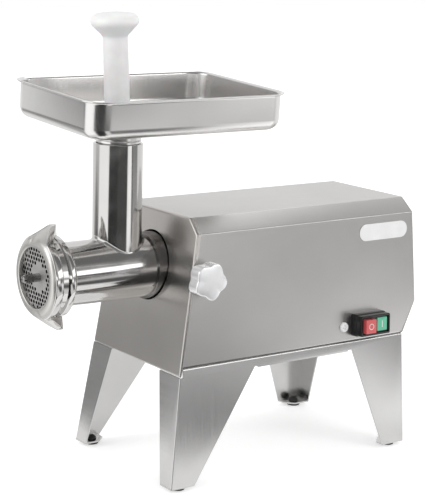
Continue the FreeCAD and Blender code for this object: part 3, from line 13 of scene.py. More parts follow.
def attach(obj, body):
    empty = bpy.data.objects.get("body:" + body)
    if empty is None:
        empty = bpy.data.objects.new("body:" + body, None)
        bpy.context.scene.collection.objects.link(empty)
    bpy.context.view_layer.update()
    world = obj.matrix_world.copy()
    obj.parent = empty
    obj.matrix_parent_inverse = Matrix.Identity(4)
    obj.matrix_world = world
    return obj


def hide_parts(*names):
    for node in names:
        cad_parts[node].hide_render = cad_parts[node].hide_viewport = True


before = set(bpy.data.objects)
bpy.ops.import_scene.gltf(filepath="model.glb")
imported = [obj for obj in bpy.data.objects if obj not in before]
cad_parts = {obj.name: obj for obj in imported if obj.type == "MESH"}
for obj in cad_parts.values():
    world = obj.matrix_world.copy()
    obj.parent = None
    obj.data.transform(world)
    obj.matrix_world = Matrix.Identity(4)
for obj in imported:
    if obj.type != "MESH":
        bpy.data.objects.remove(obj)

Colour = tuple[float, float, float]
Flat = tuple[float, float]
Point = tuple[float, float, float]
Socket = bpy.types.NodeSocket
Patterns = tuple[Socket, Socket, Socket]
Piece = bpy.types.Object
Mesh = bmesh.types.BMesh
Edge = bmesh.types.BMEdge
Vert = bmesh.types.BMVert

MM = 0.001
LOG = logging.getLogger("grinder")
EVEN: Point = (1.0, 1.0, 1.0)
ORIGIN: Point = (0.0, 0.0, 0.0)
GRINDER_AXIS: Point = (0.0, 0.0, 0.2495)
WHITE = (1.0, 1.0, 1.0, 1.0)
MERGE = 0.001
ROUND_STEPS = 6


def set_inputs(node: bpy.types.Node, **values: float | Sequence[float]) -> bpy.types.Node:
    """Set inputs of a node.

    Args:
        node: The node.
        values: Each input's name, with underscores for its spaces, and its value.

    Returns:
        The same node.
    """
    for name, value in values.items():
        node.inputs[name.replace("_", " ")].default_value = value
    return node


def shade(colour: Colour, share: float) -> Colour:
    """Give a darker or lighter shade of a colour."""
    return tuple(min(1.0, channel * share) for channel in colour)


class Brush(Enum):
    """Direction of the brush lines on a sheet, as the stretch of their noise."""

    ALONG = (1.0, 0.012, 1.0)
    UPRIGHT = (1.0, 1.0, 0.012)
    UP_THE_FRONT = (1.0, 0.01, 0.01)
    UP_THE_SIDE = (0.01, 1.0, 0.01)
    ACROSS = (0.012, 1.0, 1.0)


class Shader:
    """Nodes of one material, added and joined by short calls."""

    noise_span: ClassVar[Flat] = (0.3, 0.7)
    tint_stops: ClassVar[Flat] = (0.35, 0.65)
    wave_detail: ClassVar[float] = 2.0
    tool_pitch: ClassVar[float] = 420.0
    tool_wander: ClassVar[float] = 0.6

    def __init__(self, name: str) -> None:
        """Start a material that holds a Principled surface and its output.

        Args:
            name: Name of the material.
        """
        self.material = bpy.data.materials.new(name)
        self.material.use_nodes = True
        self.nodes = self.material.node_tree.nodes
        self.links = self.material.node_tree.links
        self.surface = self.nodes["Principled BSDF"]

    def add(self, kind: str, **values: float | Sequence[float]) -> bpy.types.Node:
        """Add a node of a kind and set some of its inputs."""
        return set_inputs(self.nodes.new("ShaderNode" + kind), **values)

    def set(self, **values: float) -> None:
        """Set inputs of the surface."""
        set_inputs(self.surface, **values)

    def place(self, stretch: Point = EVEN, middle: Point = ORIGIN) -> Socket:
        """Give object coordinates, centred and stretched for a pattern.

        Args:
            stretch: Scale along each axis.
            middle: Point in metres that becomes the origin.

        Returns:
            The socket with the mapped coordinates.
        """
        shift = [-m * s for m, s in zip(middle, stretch)]
        mapping = self.add("Mapping", Scale=stretch, Location=shift)
        self.links.new(self.add("TexCoord").outputs["Object"], mapping.inputs["Vector"])
        return mapping.outputs["Vector"]

    def noise(self, scale: float, detail: float, stretch: Point = EVEN) -> Socket:
        """Add a noise pattern.

        Args:
            scale: Grains per metre.
            detail: Octaves of finer grain.
            stretch: Scale along each axis, small along the direction of long streaks.

        Returns:
            The socket with the pattern, from 0 to 1.
        """
        texture = self.add("TexNoise", Scale=scale, Detail=detail)
        self.links.new(self.place(stretch), texture.inputs["Vector"])
        return texture.outputs["Fac"]

    def wave(self, scale: float, rings: bool, axis: str, middle: Point, wander: float) -> Socket:
        """Add parallel bands, or rings about an axis.

        Args:
            scale: Lines per metre, roughly.
            rings: Rings about the axis instead of bands along it.
            axis: X, Y or Z.
            middle: Point in metres on the axis.
            wander: How much the lines wander.

        Returns:
            The socket with the pattern, from 0 to 1.
        """
        texture = self.add("TexWave", Scale=scale, Distortion=wander, Detail=self.wave_detail)
        texture.wave_type = "RINGS" if rings else "BANDS"
        texture.rings_direction = axis
        texture.bands_direction = axis
        self.links.new(self.place(middle=middle), texture.inputs["Vector"])
        return texture.outputs["Fac"]

    def tool_rings(self) -> Socket:
        """Add the fine rings that a tool leaves about the grinder's axis."""
        return self.wave(self.tool_pitch, True, "Y", GRINDER_AXIS, self.tool_wander)

    def ramp(self, value: Socket, before: Flat, after: Flat = (0.0, 1.0)) -> Socket:
        """Map a value from one range to another.

        Args:
            value: The value.
            before: Lowest and highest value that comes in.
            after: What these two become.

        Returns:
            The socket with the mapped value.
        """
        limits = {"From_Min": before[0], "From_Max": before[1], "To_Min": after[0], "To_Max": after[1]}
        span = self.add("MapRange", **limits)
        self.links.new(value, span.inputs["Value"])
        return span.outputs["Result"]

    def depth(self, face: float, reach: float) -> Socket:
        """Add a ramp along Y from 0 at a face to 1 behind it.

        Args:
            face: Place of the face in metres.
            reach: Depth in metres at which the ramp ends.

        Returns:
            The socket with the ramp.
        """
        parts = self.add("SeparateXYZ")
        self.links.new(self.place(), parts.inputs[0])
        return self.ramp(parts.outputs["Y"], (face, face + reach))

    def roughen(self, pattern: Socket, low: float, high: float) -> None:
        """Let a pattern vary the roughness between two levels."""
        self.links.new(self.ramp(pattern, self.noise_span, (low, high)), self.surface.inputs["Roughness"])

    def tint(self, pattern: Socket, first: Colour, second: Colour) -> None:
        """Let a pattern vary the colour between two shades.

        Args:
            pattern: The pattern, from 0 to 1.
            first: Colour where it is low.
            second: Colour where it is high.
        """
        blend = self.add("ValToRGB")
        for stop, place, colour in zip(blend.color_ramp.elements, self.tint_stops, (first, second)):
            stop.position = place
            stop.color = (*colour, 1.0)
        self.links.new(pattern, blend.inputs["Fac"])
        self.links.new(blend.outputs["Color"], self.surface.inputs["Base Color"])

    def bump(self, pattern: Socket, strength: float, depth: float) -> None:
        """Raise a pattern on the surface.

        Args:
            pattern: Height of the relief.
            strength: Share of the relief that shows.
            depth: Height of the relief in millimetres.
        """
        relief = self.add("Bump", Strength=strength, Distance=depth * MM)
        self.links.new(pattern, relief.inputs["Height"])
        self.links.new(relief.outputs["Normal"], self.surface.inputs["Normal"])


@dataclass(frozen=True)
class Finish:
    """A finish that makes its material once and gives it to every piece that wears it.

    Each kind of finish has its own patterns. It also has the two shares of its colour, the two gains of
    its roughness, and the strength and height in millimetres of its relief.
    """

    name: str
    colour: Colour
    roughness: float
    metal: ClassVar[float] = 1.0
    shares: ClassVar[Flat]
    gains: ClassVar[Flat]
    relief: ClassVar[Flat]
    made: ClassVar[dict[str, bpy.types.Material]] = {}

    def material(self) -> bpy.types.Material:
        """Give the finish's material, made on first use.

        Returns:
            The material.
        """
        if self.name not in Finish.made:
            shader = Shader(self.name)
            self.dress(shader)
            Finish.made[self.name] = shader.material
        return Finish.made[self.name]

    def patterns(self, shader: Shader) -> Patterns:
        """Add the patterns of colour, roughness and relief."""
        raise NotImplementedError

    def dress(self, shader: Shader) -> None:
        """Add the finish's nodes.

        Args:
            shader: Material to add them to.
        """
        tone, wear, height = self.patterns(shader)
        shader.set(Metallic=self.metal)
        shader.tint(tone, *(shade(self.colour, share) for share in self.shares))
        shader.roughen(wear, *(self.roughness + gain for gain in self.gains))
        shader.bump(height, *self.relief)


@dataclass(frozen=True)
class BrushedSteel(Finish):
    """Brushed stainless sheet with long fine lines and faint clouds."""

    brush: Brush = Brush.ALONG
    grain: float = 0.02
    shares: ClassVar[Flat] = (0.97, 1.02)
    line_height: ClassVar[float] = 0.02

    @property
    def gains(self) -> Flat:
        """Give how far the lines vary the roughness."""
        return (-self.grain, self.grain)

    @property
    def relief(self) -> Flat:
        """Give the strength and height of the lines."""
        return (self.grain, self.line_height)

    def patterns(self, shader: Shader) -> Patterns:
        """Add clouds in the colour, and brush lines in roughness and relief."""
        lines = shader.noise(1500.0, 2.0, self.brush.value)
        return shader.noise(14.0, 3.0), lines, lines


@dataclass(frozen=True)
class PolishedSteel(Finish):
    """Hand-polished casting with a soft ripple and faint smears."""

    shares: ClassVar[Flat] = (0.97, 1.02)
    gains: ClassVar[Flat] = (0.0, 0.05)
    relief: ClassVar[Flat] = (0.1, 0.25)

    def patterns(self, shader: Shader) -> Patterns:
        """Add haze in the colour, smears in the roughness and a long soft ripple."""
        return shader.noise(20.0, 2.0), shader.noise(45.0, 5.0), shader.noise(38.0, 1.0)


@dataclass(frozen=True)
class TurnedSteel(Finish):
    """Machined metal with fine tool rings about the grinder's axis."""

    shares: ClassVar[Flat] = (0.9, 1.06)
    gains: ClassVar[Flat] = (-0.05, 0.06)
    relief: ClassVar[Flat] = (0.12, 0.04)

    def patterns(self, shader: Shader) -> Patterns:
        """Add a mottled colour, and tool rings in roughness and relief."""
        rings = shader.tool_rings()
        return shader.noise(90.0, 4.0), rings, rings


@dataclass(frozen=True)
class DrilledSteelWithPaintedShade(TurnedSteel):
    """Ground plate facing -Y with painted shade: its colour darkens behind its face, so the holes look
    shaded.
    """

    face: float = 0.0
    # Painted shade: behind the face the colour falls to a twentieth of itself, standing in for shade in the
    # holes.
    shares: ClassVar[Flat] = (1.0, 0.05)
    painted_shade_depth: ClassVar[float] = 0.0007

    def patterns(self, shader: Shader) -> Patterns:
        """Add painted shade that darkens the colour behind the face, and grinding rings on it."""
        rings = shader.tool_rings()
        return shader.depth(self.face, self.painted_shade_depth), rings, rings


@dataclass(frozen=True)
class CastMetal(Finish):
    """Sand-cast metal with a grainy skin."""

    shares: ClassVar[Flat] = (0.85, 1.08)
    gains: ClassVar[Flat] = (-0.08, 0.08)
    relief: ClassVar[Flat] = (0.35, 0.15)

    def patterns(self, shader: Shader) -> Patterns:
        """Add patches in the colour, and grain in roughness and relief."""
        grain = shader.noise(1400.0, 4.0)
        return shader.noise(60.0, 4.0), grain, grain


@dataclass(frozen=True)
class MouldedPlastic(Finish):
    """Moulded plastic with a fine skin, clear or dull."""

    gloss: float = 0.0
    scatter: float = 0.0
    metal: ClassVar[float] = 0.0
    shares: ClassVar[Flat] = (0.96, 1.02)
    gains: ClassVar[Flat] = (-0.04, 0.05)
    relief: ClassVar[Flat] = (0.15, 0.03)
    coat_roughness: ClassVar[float] = 0.08
    scatter_depth: ClassVar[float] = 0.006

    def patterns(self, shader: Shader) -> Patterns:
        """Add flow marks in the colour, and moulding grain in roughness and relief."""
        grain = shader.noise(1800.0, 3.0)
        return shader.noise(55.0, 3.0), grain, grain

    def dress(self, shader: Shader) -> None:
        """Add the finish's nodes, its clear coat and the light that scatters inside.

        Args:
            shader: Material to add them to.
        """
        super().dress(shader)
        if self.gloss:
            shader.set(Coat_Weight=self.gloss, Coat_Roughness=self.coat_roughness)
        if self.scatter:
            shader.set(Subsurface_Weight=self.scatter, Subsurface_Scale=self.scatter_depth)


@dataclass(frozen=True)
class Lacquer(Finish):
    """Pale silver lacquer over a moulding, half metal and half paint."""

    metal: ClassVar[float] = 0.7
    shares: ClassVar[Flat] = (0.97, 1.0)
    gains: ClassVar[Flat] = (-0.04, 0.06)
    relief: ClassVar[Flat] = (0.03, 0.05)

    def patterns(self, shader: Shader) -> Patterns:
        """Add flakes in the colour, wear in the roughness and the skin of the lacquer."""
        return shader.noise(2400.0, 2.0), shader.noise(60.0, 4.0), shader.noise(700.0, 2.0)


@dataclass(frozen=True)
class Rubber(Finish):
    """Dull rubber with a dusty skin."""

    metal: ClassVar[float] = 0.0
    shares: ClassVar[Flat] = (1.0, 1.9)
    gains: ClassVar[Flat] = (-0.08, 0.06)
    relief: ClassVar[Flat] = (0.4, 0.08)

    def patterns(self, shader: Shader) -> Patterns:
        """Add dust in the colour, and pores in roughness and relief."""
        pores = shader.noise(2200.0, 4.0)
        return shader.noise(120.0, 5.0), pores, pores


@dataclass(frozen=True)
class StackedMetal(Finish):
    """Layers along an axis: stamped sheets, or turns of wire."""

    axis: str = "Y"
    layers: float = 160.0
    wander: float = 0.2
    metal: ClassVar[float] = 0.9
    shares: ClassVar[Flat] = (0.55, 1.0)
    gains: ClassVar[Flat] = (0.0, 0.15)
    relief: ClassVar[Flat] = (0.5, 0.3)

    def patterns(self, shader: Shader) -> Patterns:
        """Add layers in colour, roughness and relief."""
        layers = shader.wave(self.layers, False, self.axis, ORIGIN, self.wander)
        return layers, layers, layers


@dataclass(frozen=True)
class PaintedSteel(Finish):
    """Painted steel with the skin of sprayed paint."""

    metal: ClassVar[float] = 0.0
    shares: ClassVar[Flat] = (0.9, 1.1)
    gains: ClassVar[Flat] = (-0.05, 0.08)
    relief: ClassVar[Flat] = (0.2, 0.1)

    def patterns(self, shader: Shader) -> Patterns:
        """Add dust in the colour, and orange peel in roughness and relief."""
        peel = shader.noise(420.0, 2.0)
        return shader.noise(40.0, 4.0), peel, peel


COVER_STEEL = BrushedSteel("brushed_cover", (0.52, 0.51, 0.50), 0.30, Brush.ALONG)
PANEL_STEEL = BrushedSteel("brushed_panel", (0.54, 0.52, 0.50), 0.27, Brush.UP_THE_FRONT, 0.0)
LEG_STEEL = BrushedSteel("brushed_legs", (0.56, 0.555, 0.55), 0.23, Brush.UP_THE_SIDE, 0.02)
TRAY_STEEL = BrushedSteel("brushed_tray", (0.72, 0.71, 0.70), 0.21, Brush.UPRIGHT, 0.03)
HEAD_STEEL = PolishedSteel("polished_head", (0.60, 0.59, 0.58), 0.09)
NUT_POLISH = PolishedSteel("polished_nut", (0.64, 0.63, 0.62), 0.05)
NUT_SATIN = BrushedSteel("satin_nut", (0.58, 0.57, 0.55), 0.38, Brush.ACROSS, 0.03)
TOOL_STEEL = TurnedSteel("ground_tool_steel", (0.50, 0.49, 0.48), 0.30)
# The plate's colour carries painted shade inside its holes.
PLATE_STEEL_PAINTED_SHADE = DrilledSteelWithPaintedShade("ground_plate_painted_shade", (0.54, 0.53, 0.52), 0.46, -0.2370)
SHAFT_STEEL = TurnedSteel("machined_steel", (0.48, 0.48, 0.48), 0.28)
BOLT_STEEL = BrushedSteel("zinc_fastener", (0.78, 0.78, 0.77), 0.30, Brush.ACROSS)
CAST_ALUMINIUM = CastMetal("cast_aluminium", (0.56, 0.56, 0.57), 0.42)
HUB_STEEL = TurnedSteel("turned_hub", (0.30, 0.29, 0.285), 0.20)
BRONZE = TurnedSteel("turned_bronze", (0.55, 0.36, 0.16), 0.32)
COPPER = StackedMetal("copper_winding", (0.62, 0.24, 0.08), 0.35, "X", 260.0, 2.0)
LAMINATION = StackedMetal("stamped_core", (0.24, 0.24, 0.26), 0.45)
RUBBER = Rubber("black_rubber", (0.012, 0.012, 0.012), 0.72)
BLACK_PLASTIC = MouldedPlastic("black_plastic", (0.008, 0.008, 0.008), 0.34, 0.12)
RED_PLASTIC = MouldedPlastic("red_plastic", (0.68, 0.10, 0.105), 0.30, 0.5)
GREEN_PLASTIC = MouldedPlastic("green_plastic", (0.11, 0.52, 0.33), 0.30, 0.5)
MARK_INK = MouldedPlastic("mark_ink", (0.80, 0.78, 0.76), 0.45)
WHITE_ENAMEL = MouldedPlastic("white_enamel", (0.90, 0.90, 0.90), 0.28, 0.2)
KNOB_LACQUER = Lacquer("silver_lacquer", (0.92, 0.92, 0.93), 0.30)
PLUNGER_PLASTIC = MouldedPlastic("milky_plastic", (0.93, 0.93, 0.93), 0.36, 0.0, 0.25)
GREY_PLASTIC = MouldedPlastic("grey_plastic", (0.30, 0.30, 0.31), 0.45)
CRADLE_PAINT = PaintedSteel("grey_paint", (0.10, 0.11, 0.12), 0.45)


def arc(middle: Flat, radius: float, start: float, end: float, steps: int) -> list[Flat]:
    """Give points on an arc.

    Args:
        middle: Centre of the arc.
        radius: Its radius.
        start: First angle in degrees.
        end: Last angle in degrees.
        steps: Number of chords.

    Returns:
        The points from start to end, both included.
    """
    angles = [math.radians(start + (end - start) * step / steps) for step in range(steps + 1)]
    return [(middle[0] + radius * math.cos(a), middle[1] + radius * math.sin(a)) for a in angles]


def circle(radius: float, steps: int, middle: Flat = (0.0, 0.0)) -> list[Flat]:
    """Give points round a full circle."""
    return arc(middle, radius, 0.0, 360.0, steps)[:-1]


def rounded(corners: Sequence[tuple[float, float, float]], steps: int) -> list[Flat]:
    """Round the corners of a convex outline.

    Args:
        corners: Each corner's two coordinates and its radius.
        steps: Chords in each rounded corner.

    Returns:
        The points of the rounded outline, in the same order.
    """
    points: list[Flat] = []
    count = len(corners)
    for index, (x, z, radius) in enumerate(corners):
        here = Vector((x, z))
        before = (Vector(corners[index - 1][:2]) - here).normalized()
        after = (Vector(corners[(index + 1) % count][:2]) - here).normalized()
        half = before.angle(after) / 2
        middle = here + (before + after).normalized() * (radius / math.sin(half))
        first = here + before * (radius / math.tan(half)) - middle
        last = here + after * (radius / math.tan(half)) - middle
        for step in range(steps + 1):
            point = middle + first.lerp(last, step / steps).normalized() * radius
            points.append((point.x, point.y))
    return points


def rounded_box(width: float, length: float, radius: float, steps: int, middle: float = 0.0) -> list[Flat]:
    """Give the outline of a rectangle with rounded corners.

    Args:
        width: Size along the first axis, on which the outline is centred.
        length: Size along the second axis.
        radius: Radius of the corners.
        steps: Chords in each corner.
        middle: Middle of the outline on the second axis.

    Returns:
        The points of the outline.
    """
    half, end = width / 2, length / 2
    corners = [(half, middle - end), (half, middle + end), (-half, middle + end), (-half, middle - end)]
    return rounded([(x, y, radius) for x, y in corners], steps)


def smooth_curve(points: Sequence[Flat], steps: int) -> list[Flat]:
    """Draw a smooth curve through points.

    Args:
        points: Points that the curve passes through.
        steps: Chords between two of them.

    Returns:
        The points of the curve.
    """
    found: list[Flat] = []
    for index in range(len(points) - 1):
        before, first = Vector(points[max(index - 1, 0)]), Vector(points[index])
        last, after = Vector(points[index + 1]), Vector(points[min(index + 2, len(points) - 1)])
        for step in range(steps):
            t = step / steps
            point = (first * 2 + (last - before) * t + (before * 2 - first * 5 + last * 4 - after) * t ** 2
                     + (first * 3 - before - last * 3 + after) * t ** 3) / 2
            found.append((point.x, point.y))
    return found + [tuple(points[-1])]


def skin(bm: Mesh, loops: Sequence[Sequence[Point]]) -> list[list[Vert]]:
    """Join closed loops of equal length by rows of faces.

    Args:
        bm: Mesh to add to.
        loops: Points of each loop, in millimetres.

    Returns:
        The new vertices, loop by loop.
    """
    rows = [[bm.verts.new(point) for point in loop] for loop in loops]
    count = len(rows[0])
    for low, high in zip(rows, rows[1:]):
        for index in range(count):
            after = (index + 1) % count
            bm.faces.new((low[index], low[after], high[after], high[index]))
    return rows


def turned(bm: Mesh, profile: Sequence[Flat], steps: int) -> list[list[Vert]]:
    """Turn a profile of radius and height about Z."""
    return skin(bm, [[(x, y, z) for x, y in circle(radius, steps)] for radius, z in profile])


def loop_edges(row: Sequence[Vert], bm: Mesh) -> list[Edge]:
    """Give the edges around a loop, made where they are missing."""
    pairs = [(row[index - 1], row[index]) for index in range(len(row))]
    return [bm.edges.get(pair) or bm.edges.new(pair) for pair in pairs]


def fill(bm: Mesh, *rows: Sequence[Vert], even: bool = False) -> None:
    """Fill the flat between loops with triangles, of even shape where that is asked for."""
    edges = [edge for row in rows for edge in loop_edges(row, bm)]
    bmesh.ops.triangle_fill(bm, use_beauty=even, edges=edges)


def in_scene(name: str, data: bpy.types.ID) -> Piece:
    """Make an object and put it into the scene.

    Args:
        name: Name of the object.
        data: Its mesh, lamp or camera.

    Returns:
        The object.
    """
    piece = bpy.data.objects.new(name, data)
    bpy.context.scene.collection.objects.link(piece)
    return piece


def finished(bm: Mesh, name: str, place: Matrix = Matrix.Identity(4), sharp: float = 32.0,
             outward: bool = True) -> Piece:
    """Make a mesh drawn in millimetres into an object of the frame.

    Args:
        bm: The drawn mesh, which is used up.
        name: Name of the piece.
        place: Where the drawing's frame is, in millimetres.
        sharp: Angle in degrees from which an edge stays crisp.
        outward: Whether the normals are recalculated.

    Returns:
        The object, at the origin with its place in its mesh.
    """
    if outward:
        bmesh.ops.recalc_face_normals(bm, faces=bm.faces)
    bm.transform(Matrix.Scale(MM, 4) @ place)
    mesh = bpy.data.meshes.new(name)
    bm.to_mesh(mesh)
    bm.free()
    mesh.shade_smooth()
    mesh.set_sharp_from_angle(angle=math.radians(sharp))
    return in_scene(name, mesh)


def traced(node: str) -> Mesh:
    """Copy a node's mesh in millimetres, merged, with its flat faces cleared.

    Args:
        node: Node of the frame.

    Returns:
        The copy.
    """
    merge, flat = 0.0005, 0.25
    bm = bmesh.new()
    bm.from_mesh(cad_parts[node].data)
    bm.transform(Matrix.Scale(1 / MM, 4))
    bmesh.ops.remove_doubles(bm, verts=bm.verts, dist=merge)
    bmesh.ops.dissolve_limit(bm, angle_limit=math.radians(flat), verts=bm.verts, edges=bm.edges)
    return bm


def runs_along(edge: Edge, share: float) -> bool:
    """Tell whether more than a share of an edge's length runs along Y."""
    run = edge.verts[1].co - edge.verts[0].co
    return abs(run.y) > share * run.length


def is_bent(edge: Edge, low: float, high: float) -> bool:
    """Tell whether the faces at an edge meet at an angle between two limits in degrees."""
    return low < math.degrees(edge.calc_face_angle()) < high


def round_edges(bm: Mesh, radius: float, test: Callable[[Edge], bool]) -> None:
    """Round chosen edges of a mesh to a radius.

    Args:
        bm: Mesh in millimetres.
        radius: Radius of the round.
        test: Whether an edge is rounded.
    """
    for edge in [edge for edge in bm.edges if edge.is_manifold and test(edge)]:
        if edge.is_valid:
            offset = radius * math.tan(edge.calc_face_angle() / 2)
            bmesh.ops.bevel(bm, geom=[edge], offset=offset, segments=ROUND_STEPS, profile=0.5,
                            affect="EDGES", offset_type="OFFSET")


def soften(piece: Piece, width: float, angle: float = 35.0, segments: int = 2) -> Piece:
    """Round the sharp edges of a piece.

    Args:
        piece: The piece.
        width: Width of the round in millimetres.
        angle: Angle in degrees from which an edge is rounded.
        segments: Faces across the round.

    Returns:
        The same piece.
    """
    round_over = piece.modifiers.new("edges", "BEVEL")
    round_over.width = width * MM
    round_over.segments = segments
    round_over.limit_method = "ANGLE"
    round_over.angle_limit = math.radians(angle)
    round_over.harden_normals = True
    return piece


def softened(node: str, name: str, width: float, angle: float = 35.0, segments: int = 2,
             sharp: float = 32.0) -> Piece:
    """Copy a node as a piece with its sharp edges rounded."""
    return soften(finished(traced(node), name, sharp=sharp, outward=False), width, angle, segments)


def settle(piece: Piece, body: str, slot: str, nodes: Sequence[str], *finishes: Finish) -> None:
    """Give a piece its finishes and its place in the frame.

    Args:
        piece: The piece.
        body: Body that it moves with.
        slot: Material slot that it stands for; not used.
        nodes: Nodes that it stands for.
        finishes: Finishes in the order of its material slots.
    """
    for index, finish in enumerate(finishes):
        if index == len(piece.data.materials):
            piece.data.materials.append(None)
        piece.data.materials[index] = finish.material()
    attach(piece, body)
    if nodes:
        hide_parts(*nodes)
    LOG.info("%s rides on %s", piece.name, body)


def dress(finish: Finish, *nodes: str) -> None:
    """Give nodes of the frame a finish.

    Args:
        finish: The finish.
        nodes: Nodes that keep their own shape.
    """
    for node in nodes:
        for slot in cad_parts[node].material_slots:
            slot.link = "OBJECT"
            slot.material = finish.material()
        LOG.info("%s wears %s", node, finish.name)


class Scatter:
    """Geometry Nodes tree that sets copies of a piece on points, each facing its own way."""

    kinds: ClassVar[dict[str, str]] = {"Places": "Geometry", "Piece": "Object", "Finish": "Material",
                                       "Size": "Float"}

    def __init__(self, name: str) -> None:
        """Build the tree with its named inputs.

        Args:
            name: Name of the tree.
        """
        self.tree = tree = bpy.data.node_groups.new(name, "GeometryNodeTree")
        face = tree.interface
        self.inputs: dict[str, str] = {}
        for label, kind in self.kinds.items():
            socket = face.new_socket(label, in_out="INPUT", socket_type="NodeSocket" + kind)
            self.inputs[label] = socket.identifier
        face.new_socket("Pieces", in_out="OUTPUT", socket_type="NodeSocketGeometry")
        add = tree.nodes.new
        source, result = add("NodeGroupInput"), add("NodeGroupOutput")
        shape, facing = add("GeometryNodeObjectInfo"), add("GeometryNodeInputNamedAttribute")
        turn, copies = add("FunctionNodeAlignRotationToVector"), add("GeometryNodeInstanceOnPoints")
        real, paint = add("GeometryNodeRealizeInstances"), add("GeometryNodeSetMaterial")
        facing.data_type = "FLOAT_VECTOR"
        facing.inputs["Name"].default_value = "facing"
        turn.axis = "Z"
        for start, out, end, into in ((source, "Piece", shape, "Object"),
                                      (facing, "Attribute", turn, "Vector"),
                                      (source, "Places", copies, "Points"),
                                      (shape, "Geometry", copies, "Instance"),
                                      (turn, "Rotation", copies, "Rotation"),
                                      (source, "Size", copies, "Scale"),
                                      (copies, "Instances", real, "Geometry"),
                                      (real, "Geometry", paint, "Geometry"),
                                      (source, "Finish", paint, "Material"),
                                      (paint, "Geometry", result, "Pieces")):
            tree.links.new(start.outputs[out], end.inputs[into])

    def set_out(self, name: str, piece: Piece, places: Sequence[tuple[Point, Point]],
                finish: Finish) -> Piece:
        """Set copies of a piece on places and make them one plain mesh.

        Args:
            name: Name of the new piece.
            piece: Drawn piece, facing +Z at the origin, which is used up.
            places: Each copy's place in millimetres and the direction that it faces.
            finish: Finish of the copies.

        Returns:
            The new piece.
        """
        points = bpy.data.meshes.new(name + "_places")
        points.from_pydata([[MM * value for value in place] for place, _ in places], [], [])
        points.attributes.new("facing", "FLOAT_VECTOR", "POINT")
        for entry, (_, facing) in zip(points.attributes["facing"].data, places):
            entry.vector = facing
        carrier = in_scene(name + "_carrier", points)
        nodes = carrier.modifiers.new("scatter", "NODES")
        nodes.node_group = self.tree
        for label, value in (("Piece", piece), ("Finish", finish.material()), ("Size", 1.0)):
            nodes[self.inputs[label]] = value
        view = bpy.context.evaluated_depsgraph_get()
        mesh = bpy.data.meshes.new_from_object(carrier.evaluated_get(view))
        mesh.name = name
        carrier.modifiers.clear()
        for used in (carrier, piece):
            bpy.data.objects.remove(used)
        return in_scene(name, mesh)


